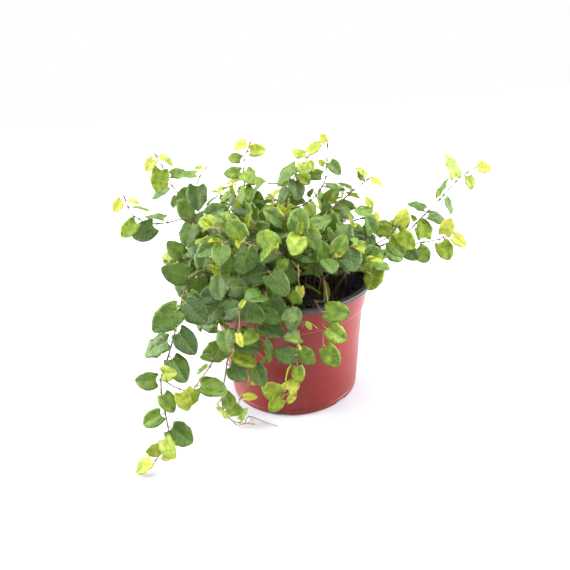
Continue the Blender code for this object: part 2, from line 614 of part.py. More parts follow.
def grow_fillers(crowd, mains):
    """Grows the filler stems and their side shoots, each turned round the pot until it finds room."""
    stems = []
    for name, sizes, count, first, forks, lift in filler_plans():
        owner = len(mains)
        draw = np.random.default_rng([SEED, owner])
        row = blade_lengths(count, draw)
        for attempt in range(FILLER_TRIES):
            azimuth = sizes["azimuth"] + (-1) ** attempt * ((attempt + 1) // 2) * 5
            via = arching_route(**{**sizes, "azimuth": azimuth})
            shoot = Shoot(name, via, row, (first, None), 1 - 2 * (owner % 2))
            reach = lengths_along(smooth_route(planted(via)))[-1]
            stem = grow_stem(shoot, owner, forks=tuple(reach * share for share in forks))
            if crowd.is_clear(stem.samples(), STEM_GAP):
                break
        else:
            continue
        mains[name] = stem
        stems.append(stem)
        crowd.add(stem.samples(), owner)
        for number, share in enumerate(forks):
            side = fork_shoot(stem, stem.place_of(reach * share), number, lift, crowd, draw)
            if side:
                stems.append(side)
                crowd.add(side.samples()[2:], owner)
    return stems


def grow_plant():
    """Grows the stems, then the single leaves, then the rows, alternately to one side and the other."""
    crowd = Crowd()
    mains = {}
    stems = grow_named(crowd, mains) + grow_fillers(crowd, mains)
    leaves = []

    def keep(leaf):
        """Keeps a leaf, where there is one, and its room."""
        if leaf:
            leaves.append(leaf)
            crowd.add(leaf.blade_samples(), leaf.owner)
            crowd.add(leaf.petiole_samples(), leaf.owner)

    for index, stem in enumerate(stems):
        for number in range(len(stem.shoot.leaves)):
            keep(set_leaf(stem, index, number, crowd))
    for index, stem in enumerate(stems):
        for number in range(len(stem.shoot.row)):
            keep(grow_leaf(stem, index, number, crowd))
    return stems, leaves


# Meshes

def make_object(name, vertices, faces, material):
    """Makes an object from points in millimetres and their faces."""
    mesh = bpy.data.meshes.new(name)
    mesh.from_pydata([tuple(float(value) * MM for value in point) for point in vertices], [], faces)
    mesh.materials.append(material)
    mesh.validate()
    piece = bpy.data.objects.new(name, mesh)
    bpy.context.scene.collection.objects.link(piece)
    return piece


def make_material(name, colour, roughness, metallic=0.0):
    """Makes a Principled material of one colour."""
    material = bpy.data.materials.new(name)
    material.use_nodes = True
    shader = material.node_tree.nodes["Principled BSDF"]
    shader.inputs["Base Color"].default_value = (*colour, 1.0)
    shader.inputs["Roughness"].default_value = roughness
    shader.inputs["Metallic"].default_value = metallic
    return material


def tube_faces(rings, sides, pointed):
    """Lists the faces of a closed tube: a cap, the bands between its rings, and a cap or a point at its end."""
    faces = [tuple(reversed(range(sides)))]
    for ring in range(rings - 1):
        low, high = ring * sides, (ring + 1) * sides
        for k in range(sides):
            after = (k + 1) % sides
            faces.append((low + k, low + after, high + after, high + k))
    last = (rings - 1) * sides
    if pointed:
        faces.extend((last + k, last + (k + 1) % sides, last + sides) for k in range(sides))
    else:
        faces.append(tuple(range(last, last + sides)))
    return faces


def stem_tube(stem):
    """Carries a ring of STEM_SIDES points along the spine, turned as little as possible from ring to ring."""
    across = unit(np.cross(stem.along[0], (0.31, 0.95, 0.0)))
    rings = []
    for point, along, radius in zip(stem.spine, stem.along, stem.radii):
        across = unit(across - along * (across @ along))
        other = np.cross(along, across)
        for k in range(STEM_SIDES):
            turn = 2 * math.pi * k / STEM_SIDES
            rings.append(point + radius * (math.cos(turn) * across + math.sin(turn) * other))
    return rings, tube_faces(len(stem.spine), STEM_SIDES, False)


def leaf_wedge(leaf):
    """Makes a petiole and blade as one three-sided tube: two margins above, and the midrib's keel below."""
    stalk = unit(leaf.hinge - leaf.root)
    across = np.cross(leaf.up, leaf.along)
    stalk_up = unit(leaf.up - stalk * (leaf.up @ stalk))
    stalk_across = np.cross(stalk_up, stalk)
    points = []
    for centre in (leaf.root, leaf.hinge):
        points.append(centre + PETIOLE_RADIUS * (0.87 * stalk_across + 0.5 * stalk_up))
        points.append(centre - PETIOLE_RADIUS * stalk_up)
        points.append(centre + PETIOLE_RADIUS * (-0.87 * stalk_across + 0.5 * stalk_up))
    for share, width in (BELLY, SHOULDER):
        centre = leaf.hinge + leaf.length * (leaf.along * share - leaf.up * ARCH * share**2)
        margin = leaf.length * (across * width)
        lift = leaf.up * leaf.length * FOLD * width
        points.extend([centre + margin + lift, centre - leaf.up * KEEL, centre - margin + lift])
    points.append(leaf.hinge + leaf.length * (leaf.along - leaf.up * ARCH))
    return points, [tuple(reversed(face)) for face in tube_faces(4, 3, True)]


def is_closed(mesh):
    """Tests that every edge of a mesh has two faces."""
    shape = bmesh.new()
    shape.from_mesh(mesh)
    closed = bool(shape.faces) and all(edge.is_manifold for edge in shape.edges)
    shape.free()
    return closed


def united(base, parts, solver):
    """Gives the mesh of `base` joined to all the parts by one Boolean on their collection."""
    group = bpy.data.collections.new("parts_to_join")
    bpy.context.scene.collection.children.link(group)
    for part in parts:
        group.objects.link(part)
    union = base.modifiers.new("union", "BOOLEAN")
    union.operation = "UNION"
    union.operand_type = "COLLECTION"
    union.collection = group
    union.solver = solver
    depsgraph = bpy.context.evaluated_depsgraph_get()
    mesh = bpy.data.meshes.new_from_object(base.evaluated_get(depsgraph))
    base.modifiers.remove(union)
    bpy.data.collections.remove(group)
    return mesh


def build_leafy_stem(name, stems, leaves, material):
    """Joins one stem, its side shoots and its large leaves into one body."""
    base = make_object(name, *stem_tube(stems[0]), material)
    parts = [make_object(f"{name}_shoot", *stem_tube(stem), material) for stem in stems[1:]]
    parts += [make_object(f"{name}_leaf", *leaf_wedge(leaf), material) for leaf in leaves]
    if parts:
        mesh = united(base, parts, "EXACT")
        if not is_closed(mesh):
            mesh = united(base, parts, "MANIFOLD")
        base.data = mesh
        mesh.name = name
        for part in parts:
            bpy.data.objects.remove(part)
    return base


def turned_piece(name, profile, material):
    """Turns a closed profile of (radius, height) points, from the top down its outer side, about Z."""
    mesh = bpy.data.meshes.new(name)
    points = [(radius * MM, 0.0, height * MM) for radius, height in profile]
    mesh.from_pydata(points, [(k, k + 1) for k in range(len(points) - 1)], [])
    mesh.materials.append(material)
    piece = bpy.data.objects.new(name, mesh)
    bpy.context.scene.collection.objects.link(piece)
    screw = piece.modifiers.new("turn", "SCREW")
    screw.steps = screw.render_steps = POT_SIDES
    screw.use_merge_vertices = True
    screw.merge_threshold = 0.00001
    return piece


def cut(piece, cutters, name):
    """Cuts a collection of hidden cutters out of a piece, and removes them."""
    group = bpy.data.collections.new(name)
    bpy.context.scene.collection.children.link(group)
    for cutter in cutters:
        group.objects.link(cutter)
    hole = piece.modifiers.new(name, "BOOLEAN")
    hole.operation = "DIFFERENCE"
    hole.operand_type = "COLLECTION"
    hole.collection = group
    hole.solver = "EXACT"
    depsgraph = bpy.context.evaluated_depsgraph_get()
    mesh = bpy.data.meshes.new_from_object(piece.evaluated_get(depsgraph))
    piece.modifiers.clear()
    piece.data = mesh
    bpy.data.collections.remove(group)
    for cutter in cutters:
        bpy.data.objects.remove(cutter)


def build_pot(material):
    """Turns the pot's thin wall, with its lip, band, step, foot and raised base, and cuts the drainage slots."""
    band_foot = POT_HEIGHT - BAND_HEIGHT
    inner_band_top = BAND_TOP_RADIUS - WALL
    profile = [
        (inner_band_top, POT_HEIGHT), (LIP_RADIUS, POT_HEIGHT), (LIP_RADIUS, POT_HEIGHT - LIP_DROP),
        (LIP_RADIUS - WALL, POT_HEIGHT - LIP_DROP), (LIP_RADIUS - WALL, POT_HEIGHT - WALL),
        (BAND_TOP_RADIUS, POT_HEIGHT - WALL), (BAND_FOOT_RADIUS, band_foot),
        (WALL_TOP_RADIUS, band_foot - WALL), (WALL_FOOT_RADIUS, FOOT_CHAMFER), (FOOT_RADIUS, 0.0),
        (FOOT_RADIUS - FOOT_WIDTH, 0.0), (FOOT_RADIUS - FOOT_WIDTH - WALL, BASE_LIFT),
        (PAD_RADIUS + WALL, BASE_LIFT), (PAD_RADIUS, 0.0), (0.0, 0.0), (0.0, BASE_LIFT + WALL),
        (WALL_FOOT_RADIUS - WALL, BASE_LIFT + WALL),
        (WALL_TOP_RADIUS - WALL, band_foot), (BAND_FOOT_RADIUS - WALL, band_foot + WALL),
        (inner_band_top, POT_HEIGHT),
    ]
    pot = turned_piece("pot", profile, material)
    slots = []
    for k in range(SLOT_COUNT):
        azimuth = math.radians(SLOT_TURN + 360 / SLOT_COUNT * k)
        shape = bmesh.new()
        bmesh.ops.create_cube(shape, size=1.0)
        size = (4 * FOOT_WIDTH * MM, SLOT_WIDTH * MM, 2 * SLOT_HEIGHT * MM)
        bmesh.ops.scale(shape, vec=size, verts=shape.verts)
        bmesh.ops.rotate(shape, cent=(0, 0, 0), matrix=Matrix.Rotation(azimuth, 3, "Z"), verts=shape.verts)
        reach = (FOOT_RADIUS - FOOT_WIDTH / 2) * MM
        bmesh.ops.translate(shape, vec=(reach * math.cos(azimuth), reach * math.sin(azimuth), 0), verts=shape.verts)
        mesh = bpy.data.meshes.new("drainage_slot")
        shape.to_mesh(mesh)
        shape.free()
        slot = bpy.data.objects.new("drainage_slot", mesh)
        bpy.context.scene.collection.objects.link(slot)
        slots.append(slot)
    cut(pot, slots, "drainage_slots")
    return pot


def build_soil(stems, material):
    """Turns the plug of compost that fills the pot, and cuts a plain hole for each stem."""
    band_foot = POT_HEIGHT - BAND_HEIGHT
    edge_top = SOIL_TOP - SOIL_EDGE_DROP

    def inner_radius(height):
        """Gives the radius of the pot's inner face, less the fit, at a height above its foot."""
        foot_height = BASE_LIFT + WALL
        if height > band_foot + WALL:
            share = (height - band_foot - WALL) / (BAND_HEIGHT - WALL)
            return BAND_FOOT_RADIUS - WALL - FIT + share * (BAND_TOP_RADIUS - BAND_FOOT_RADIUS)
        share = (height - foot_height) / (band_foot - foot_height)
        return WALL_FOOT_RADIUS - WALL - FIT + share * (WALL_TOP_RADIUS - WALL_FOOT_RADIUS)

    foot = BASE_LIFT + WALL + FIT
    neck = band_foot - FIT
    profile = [
        (0.0, SOIL_TOP), (inner_radius(neck) * 0.6, SOIL_TOP - SOIL_EDGE_DROP * 0.4),
        (inner_radius(neck) - SIDE_FIT, edge_top), (inner_radius(neck) - SIDE_FIT, neck),
        (inner_radius(foot) - SIDE_FIT, foot), (0.0, foot),
    ]
    soil = turned_piece("soil", profile, material)
    holes = []
    for stem in stems:
        x, y, _ = stem.spine[0] * MM
        bottom = (edge_top - HOLE_DEPTH + FIT) * MM
        top = (SOIL_TOP + HOLE_DEPTH) * MM
        shape = bmesh.new()
        bmesh.ops.create_cone(shape, cap_ends=True, segments=HOLE_SIDES, radius1=HOLE_RADIUS * MM,
                              radius2=HOLE_RADIUS * MM, depth=top - bottom)
        bmesh.ops.translate(shape, vec=(x, y, (top + bottom) / 2), verts=shape.verts)
        mesh = bpy.data.meshes.new("stem_hole")
        shape.to_mesh(mesh)
        shape.free()
        hole = bpy.data.objects.new("stem_hole", mesh)
        bpy.context.scene.collection.objects.link(hole)
        holes.append(hole)
    cut(soil, holes, "stem_holes")
    return soil


def main():
    """Builds the pot, the compost and every leafy stem."""
    for item in list(bpy.data.objects):
        bpy.data.objects.remove(item)
    terracotta = make_material("terracotta_plastic", (0.46, 0.085, 0.055), 0.38)
    compost = make_material("dark_compost", (0.018, 0.014, 0.012), 0.95)
    leaf_green = make_material("fig_green", (0.09, 0.19, 0.03), 0.5)
    stems, leaves = grow_plant()
    mains = {}
    for stem in stems:
        mains.setdefault(stem.shoot.stem, []).append(stem)
    build_pot(terracotta)
    build_soil([shoots[0] for shoots in mains.values()], compost)
    for name, shoots in mains.items():
        owner = shoots[0].owner
        large = [leaf for leaf in leaves if leaf.owner == owner and leaf.is_large()]
        build_leafy_stem(name, shoots, large, leaf_green)


main()
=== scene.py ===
"""Looks of a potted creeping fig: every visible surface of the pot, the compost and the leafy stems.

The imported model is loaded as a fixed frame. The pot, the compost and each leafy stem are then made again as
fine surfaces in the same places, by the same growth rule and the same sizes as the solids. Lengths are in
millimetres until a mesh is made. +Z is up, -Y is the front, and the origin is on the pot's axis on the floor.
"""

import logging
import math
from dataclasses import dataclass, field
from enum import Enum
from typing import Any, Iterable, Optional, Sequence, Union

import bpy
import numpy as np
from mathutils import Matrix, Vector

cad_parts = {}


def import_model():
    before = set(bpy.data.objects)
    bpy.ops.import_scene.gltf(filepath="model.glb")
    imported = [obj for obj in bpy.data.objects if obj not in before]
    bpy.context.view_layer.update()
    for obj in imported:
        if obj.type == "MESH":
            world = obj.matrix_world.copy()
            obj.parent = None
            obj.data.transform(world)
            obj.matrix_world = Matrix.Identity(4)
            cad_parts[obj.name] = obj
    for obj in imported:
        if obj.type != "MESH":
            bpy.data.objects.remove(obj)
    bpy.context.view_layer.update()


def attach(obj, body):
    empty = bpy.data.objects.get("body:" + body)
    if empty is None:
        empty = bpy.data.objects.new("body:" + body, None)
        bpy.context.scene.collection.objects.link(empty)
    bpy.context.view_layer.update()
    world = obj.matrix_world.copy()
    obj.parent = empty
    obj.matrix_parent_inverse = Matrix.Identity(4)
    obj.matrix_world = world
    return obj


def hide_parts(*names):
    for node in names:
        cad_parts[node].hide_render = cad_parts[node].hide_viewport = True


MM = 0.001
TINY = 1e-9
CURVE_STEPS = 16
STEM_YOUTH = 0.9
LOG = logging.getLogger("creeping_fig")
Array = np.ndarray
Draws = np.random.Generator
Pair = tuple[float, float]
Triple = tuple[float, float, float]
Colour = tuple[float, float, float, float]
Numbers = tuple[float, ...]
Rows = tuple[Numbers, ...]
Materials = Sequence[bpy.types.Material]


class VineSlot(Enum):
    """Which material slot of a leafy stem a surface takes."""

    BLADE = 0
    BARK = 1


class PotSlot(Enum):
    """Which material slot of the pot a surface takes."""

    OUTSIDE = 0
    LINING = 1


# Vectors, curves and noise

def unit(vector: Any) -> Array:
    """Scales a vector to length 1."""
    vector = np.asarray(vector, float)
    return vector / max(np.linalg.norm(vector), TINY)


def units(vectors: Array) -> Array:
    """Scales each vector along the last axis to length 1."""
    return vectors / np.maximum(np.linalg.norm(vectors, axis=-1, keepdims=True), TINY)


def aim(azimuth: float, elevation: float) -> Array:
    """Gives the direction (cos a cos e, sin a cos e, sin e), for a degrees from +X and e above the floor."""
    around, rise = math.radians(azimuth), math.radians(elevation)
    return np.array([math.cos(around) * math.cos(rise), math.sin(around) * math.cos(rise), math.sin(rise)])


def at_radius(azimuth: float, radius: float, height: float) -> Array:
    """Gives the point at an azimuth in degrees, a radius and a height."""
    return np.append(radius * aim(azimuth, 0)[:2], height)


def lengths_along(points: Array) -> Array:
    """Gives the distance along a row of points to each of them."""
    return np.concatenate([[0.0], np.cumsum(np.linalg.norm(np.diff(points, axis=0), axis=1))])


def read_at(points: Array, distances: Any) -> Array:
    """Reads a row of points at distances along it, straight between neighbours."""
    along = lengths_along(points)
    return np.stack([np.interp(distances, along, points[:, axis]) for axis in range(3)], axis=-1)


def smooth_route(via: Any) -> Array:
    """Runs a Catmull-Rom curve through points, with CURVE_STEPS steps in each stretch.

    From b to c, between a and d, the curve is half of 2b + (c - a) t + (2a - 5b + 4c - d) t^2
    + (3b - a - 3c + d) t^3.

    Args:
        via: the points in order.

    Returns:
        The curve's points.
    """
    points = np.array(via, float)
    points = np.vstack([2 * points[0] - points[1], points, 2 * points[-1] - points[-2]])
    t = np.linspace(0, 1, CURVE_STEPS + 1)[:-1, None]
    stretches = []
    for a, b, c, d in zip(points, points[1:], points[2:], points[3:]):
        stretches.append(0.5 * (2 * b + (c - a) * t + (2 * a - 5 * b + 4 * c - d) * t**2
                                + (3 * b - a - 3 * c + d) * t**3))
    return np.vstack(stretches + [points[-2:-1]])


def waves(points: Array, size: float, seed: int, count: int = 14) -> Array:
    """Gives smooth noise of about -1 to 1: a sum of sine waves in random directions.

    Args:
        points: places, with their coordinates in the last axis.
        size: a typical wavelength, in the places' unit; each wave is between 1.7 times and 0.7 times as long.
        seed: fixes the waves.
        count: how many waves are added.

    Returns:
        One value for each place.
    """
    draw = np.random.default_rng(seed)
    directions = units(draw.normal(size=(count, points.shape[-1]))) * (0.6 + 0.9 * draw.random((count, 1)))
    phases = draw.random(count) * 2 * math.pi
    return np.sin(points @ directions.T * (2 * math.pi / size) + phases).sum(axis=-1) / math.sqrt(count)


def smooth_step(values: Array, low: float, high: float) -> Array:
    """Rises from 0 at low to 1 at high as 3t^2 - 2t^3."""
    t = np.clip((values - low) / (high - low), 0, 1)
    return t * t * (3 - 2 * t)


# Surfaces

@dataclass
class Surface:
    """Points in millimetres and their faces, with what the materials read.

    `faces` holds arrays of point numbers, one row for each face. `marks` holds a value for each point, and
    `face_marks` one value for all the faces of each array. `flat` holds each point's place in a pattern.
    """

    points: Array
    faces: list[Array]
    slot: int = 0
    marks: dict[str, Array] = field(default_factory=dict)
    face_marks: dict[str, Sequence[float]] = field(default_factory=dict)
    flat: Optional[Array] = None


def ring_numbers(rows: int, columns: int) -> Array:
    """Numbers the points of rings one after another, with the first point of each again at its end."""
    numbers = np.arange(rows * columns).reshape(rows, columns)
    return np.hstack([numbers, numbers[:, :1]])


def grid_faces(numbers: Array) -> Array:
    """Lists a numbered grid's four-sided faces: (i, j), (i + 1, j), (i + 1, j + 1), (i, j + 1)."""
    corners = [numbers[:-1, :-1], numbers[1:, :-1], numbers[1:, 1:], numbers[:-1, 1:]]
    return np.stack(corners, -1).reshape(-1, 4)


def flipped(faces: Array) -> Array:
    """Turns faces to their other side: each keeps its first corner and reverses the rest."""
    return np.hstack([faces[:, :1], faces[:, :0:-1]])


def closed_rings(rows: int, columns: int) -> list[Array]:
    """Lists the faces of rings and of the fans that close them, with the two poles numbered last.

    Args:
        rows: how many rings.
        columns: points in each ring.

    Returns:
        The four-sided faces between the rings, and the fans at the first pole and at the second.
    """
    near, far = np.arange(columns), np.roll(np.arange(columns), -1)
    pole, last = rows * columns, (rows - 1) * columns
    first_fan = np.stack([np.full(columns, pole), far, near], -1)
    last_fan = np.stack([np.full(columns, pole + 1), last + near, last + far], -1)
    return [flipped(grid_faces(ring_numbers(rows, columns))), np.vstack([first_fan, last_fan])]


def repeated(part: Array, count: int, size: int) -> Array:
    """Lists a part's faces for each of `count` copies of `size` points."""
    first = (np.arange(count) * size)[:, None, None]
    return (first + part).reshape(-1, part.shape[1])


def tubes(paths: Array, radii: Array, sides: int, reference: Array) -> tuple[Array, list[Array]]:
    """Carries a round profile along several paths: centre + radius (cos a across + sin a other).

    Args:
        paths: their points, paths by stations by 3.
        radii: the radius at each station.
        sides: points in each ring.
        reference: a direction for each path that it never runs along.

    Returns:
        The points, and the faces of the bands and of the two end caps.
    """
    count, stations, _ = paths.shape
    along = units(np.gradient(paths, axis=1))
    across = units(np.cross(along, reference[:, None]))
    other = np.cross(along, across)
    turn = 2 * math.pi * np.arange(sides) / sides
    ring = np.cos(turn)[:, None] * across[:, :, None] + np.sin(turn)[:, None] * other[:, :, None]
    points = paths[:, :, None] + radii[:, :, None, None] * ring
    band = flipped(grid_faces(ring_numbers(stations, sides)))
    caps = np.stack([np.arange(sides)[::-1], (stations - 1) * sides + np.arange(sides)])
    return points.reshape(-1, 3), [repeated(part, count, stations * sides) for part in (band, caps)]


def make_piece(name: str, surfaces: Sequence[Surface], materials: Materials,
               node: str) -> bpy.types.Object:
    """Makes one object of several surfaces, which stands for a node of the frame.

    Args:
        name: the object's name.
        surfaces: the surfaces that make it up.
        materials: the materials, in the order of the slots.
        node: the node that it replaces.

    Returns:
        The object, at the origin.
    """
    starts = np.cumsum([0] + [len(surface.points) for surface in surfaces])
    corners, sizes, slots = [], [], []
    for surface, start in zip(surfaces, starts):
        for faces in surface.faces:
            corners.append((faces + start).ravel())
            sizes.append(np.full(len(faces), faces.shape[1]))
            slots.append(np.full(len(faces), surface.slot))
    corners, sizes, slots = (np.concatenate(parts).astype(np.int32) for parts in (corners, sizes, slots))
    mesh = bpy.data.meshes.new(name)
    mesh.vertices.add(int(starts[-1]))
    mesh.vertices.foreach_set("co", (np.vstack([s.points for s in surfaces]) * MM).astype(np.float32).ravel())
    mesh.loops.add(len(corners))
    mesh.loops.foreach_set("vertex_index", corners)
    mesh.polygons.add(len(sizes))
    mesh.polygons.foreach_set("loop_start", np.concatenate([[0], np.cumsum(sizes)[:-1]]).astype(np.int32))
    mesh.polygons.foreach_set("material_index", slots)
    mesh.polygons.foreach_set("use_smooth", np.ones(len(sizes), bool))
    mesh.update(calc_edges=True)
    add_marks(mesh, surfaces)
    add_pattern(mesh, surfaces, corners)
    for material in materials:
        mesh.materials.append(material)
    piece = bpy.data.objects.new(name, mesh)
    bpy.context.scene.collection.objects.link(piece)
    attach(piece, "root")
    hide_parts(node)
    LOG.info("%s: %d triangles", name, int((sizes - 2).sum()))
    return piece


def add_marks(mesh: bpy.types.Mesh, surfaces: Sequence[Surface]) -> None:
    """Writes the surfaces' marks into the mesh's attributes, 0 where a surface has none.

    Args:
        mesh: the joined mesh.
        surfaces: its surfaces, in order.
    """
    for name in sorted({name for surface in surfaces for name in surface.marks}):
        values = [surface.marks.get(name, np.zeros(len(surface.points))) for surface in surfaces]
        attribute = mesh.attributes.new(name, "FLOAT", "POINT")
        attribute.data.foreach_set("value", np.concatenate(values).astype(np.float32))
    for name in sorted({name for surface in surfaces for name in surface.face_marks}):
        values = []
        for surface in surfaces:
            marks = surface.face_marks.get(name, [0.0] * len(surface.faces))
            values.extend(np.full(len(faces), mark) for faces, mark in zip(surface.faces, marks))
        attribute = mesh.attributes.new(name, "FLOAT", "FACE")
        attribute.data.foreach_set("value", np.concatenate(values).astype(np.float32))


def add_pattern(mesh: bpy.types.Mesh, surfaces: Sequence[Surface], corners: Array) -> None:
    """Writes each point's place in its pattern into a UV map.

    Args:
        mesh: the joined mesh.
        surfaces: its surfaces, in order.
        corners: the point number at each corner of each face.
    """
    if all(surface.flat is None for surface in surfaces):
        return
    flat = np.vstack([np.zeros((len(s.points), 2)) if s.flat is None else s.flat for s in surfaces])
    layer = mesh.uv_layers.new(name="pattern")
    layer.data.foreach_set("uv", flat[corners].astype(np.float32).ravel())


# Shader nodes

Value = Union["Socket", float]


@dataclass(frozen=True)
class Socket:
    """An output of a node. Arithmetic on it adds Math nodes."""

    sheet: "NodeSheet"
    output: bpy.types.NodeSocket

    def maths(self, operation: str, *values: Value) -> "Socket":
        """Adds one Math node on the values, in order."""
        return self.sheet.add("ShaderNodeMath", {"operation": operation}, dict(enumerate(values)))

    def __add__(self, other: Value) -> "Socket":
        """Adds."""
        return self.maths("ADD", self, other)

    def __radd__(self, other: Value) -> "Socket":
        """Adds to a number."""
        return self.maths("ADD", other, self)

    def __sub__(self, other: Value) -> "Socket":
        """Takes away."""
        return self.maths("SUBTRACT", self, other)

    def __rsub__(self, other: Value) -> "Socket":
        """Is taken away from a number."""
        return self.maths("SUBTRACT", other, self)

    def __mul__(self, other: Value) -> "Socket":
        """Multiplies."""
        return self.maths("MULTIPLY", self, other)

    def __rmul__(self, other: Value) -> "Socket":
        """Multiplies a number."""
        return self.maths("MULTIPLY", other, self)

    def __abs__(self) -> "Socket":
        """Drops the sign."""
        return self.maths("ABSOLUTE", self)

    def fraction(self) -> "Socket":
        """Keeps what is past the whole number."""
        return self.maths("FRACT", self)

    def above(self, low: float, high: float) -> "Socket":
        """Rises smoothly from 0 at low to 1 at high."""
        return self.sheet.add("ShaderNodeMapRange", {"interpolation_type": "SMOOTHSTEP"},
                              {"Value": self, "From Min": low, "From Max": high})

    def clamped(self) -> "Socket":
        """Keeps the value from 0 to 1."""
        return self.sheet.add("ShaderNodeClamp", {}, {"Value": self})


class NodeSheet:
    """Adds nodes to a node tree."""

    def __init__(self, tree: bpy.types.NodeTree) -> None:
        """Empties the tree."""
        self.tree = tree
        tree.nodes.clear()

    def add(self, kind: str, settings: dict[str, Any], values: dict[Any, Any],
            output: Union[int, str] = 0) -> Socket:
        """Adds a node: its settings first, then the values or links of its inputs.

        Args:
            kind: the node's type.
            settings: its properties; `stops` are a colour ramp's positions and colours.
            values: a number, a colour or a Socket for each input, by name or number.
            output: which output is given back.

        Returns:
            That output.
        """
        node = self.tree.nodes.new(kind)
        for name, value in settings.items():
            if name == "stops":
                self.set_stops(node.color_ramp, value)
            else:
                setattr(node, name, value)
        for name, value in values.items():
            if isinstance(value, Socket):
                self.tree.links.new(value.output, node.inputs[name])
            else:
                node.inputs[name].default_value = value
        return Socket(self, node.outputs[output] if node.outputs else None)

    @staticmethod
    def set_stops(ramp: bpy.types.ColorRamp, stops: Sequence[tuple[float, Colour]]) -> None:
        """Gives a colour ramp its stops.

        Args:
            ramp: the ramp, as made with two stops.
            stops: position and colour of each.
        """
        for position, _ in stops[1:-1]:
            ramp.elements.new(position)
        for element, (position, colour) in zip(ramp.elements, stops):
            element.position = position
            element.color = colour

    def ramp(self, factor: Value, stops: Sequence[tuple[float, Colour]]) -> Socket:
        """Reads a colour ramp at a value."""
        return self.add("ShaderNodeValToRGB", {"stops": stops}, {"Fac": factor})

    def mix(self, factor: Value, low: Any, high: Any) -> Socket:
        """Mixes two colours, from low at factor 0 to high at 1."""
        return self.add("ShaderNodeMix", {"data_type": "RGBA"}, {0: factor, 6: low, 7: high}, 2)

    def mark(self, name: str) -> Socket:
        """Reads one of the mesh's attributes as a number."""
        return self.add("ShaderNodeAttribute", {"attribute_name": name}, {}, "Fac")

    def part(self, vector: Socket, axis: str) -> Socket:
        """Reads one coordinate of a vector: X, Y or Z."""
        return self.add("ShaderNodeSeparateXYZ", {}, {"Vector": vector}, axis)

    def place(self) -> Socket:
        """Reads the object coordinates, in metres."""
        return self.add("ShaderNodeTexCoord", {}, {}, "Object")

    def noise(self, vector: Socket, size: float, detail: float = 2.0, roughness: float = 0.5) -> Socket:
        """Adds noise of about 0 to 1 whose lumps are `size` long, in the vector's unit."""
        return self.add("ShaderNodeTexNoise", {"noise_dimensions": "3D"},
                        {"Vector": vector, "Scale": 1 / size, "Detail": detail, "Roughness": roughness})

    def bump(self, height: Socket, distance: float, strength: float) -> Socket:
        """Turns a height of 0 to 1 into a normal, for a relief `distance` metres high."""
        return self.add("ShaderNodeBump", {}, {"Height": height, "Distance": distance, "Strength": strength})

    def principled(self, base: Any, roughness: Value, normal: Optional[Socket] = None,
                   specular: float = 0.5) -> Socket:
        """Adds the Principled shader.

        Args:
            base: the base colour.
            roughness: 0 where it is glossy and 1 where it is matt.
            normal: the relief, if it has one.
            specular: the level of the mirror reflection.

        Returns:
            The shader.
        """
        values = {"Base Color": base, "Roughness": roughness, "Specular IOR Level": specular}
        if normal:
            values["Normal"] = normal
        return self.add("ShaderNodeBsdfPrincipled", {}, values)

    def surface(self, shader: Socket) -> None:
        """Ends the tree with a shader."""
        self.add("ShaderNodeOutputMaterial", {}, {"Surface": shader})


def colour(*screen: float) -> Colour:
    """Gives a linear colour from red, green and blue of 0 to 255.

    With c over 255, it is ((c + 0.055) / 1.055)^2.4, or c / 12.92 where c is dark.

    Args:
        screen: red, green and blue as on a screen.

    Returns:
        The linear colour, opaque.
    """
    share = np.array(screen) / 255
    linear = np.where(share > 0.04045, ((share + 0.055) / 1.055) ** 2.4, share / 12.92)
    return (*(float(value) for value in linear), 1.0)


# Finishes

class Finish:
    """A finish, whose class says its material's name and draws its nodes."""

    name = "finish"

    def material(self) -> bpy.types.Material:
        """Makes the finish's material.

        Returns:
            The material.
        """
        material = bpy.data.materials.new(self.name)
        material.use_nodes = True
        sheet = NodeSheet(material.node_tree)
        sheet.surface(self.shader(sheet))
        return material

    def shader(self, sheet: NodeSheet) -> Socket:
        """Gives the finish's shader; each finish has its own."""
        raise NotImplementedError


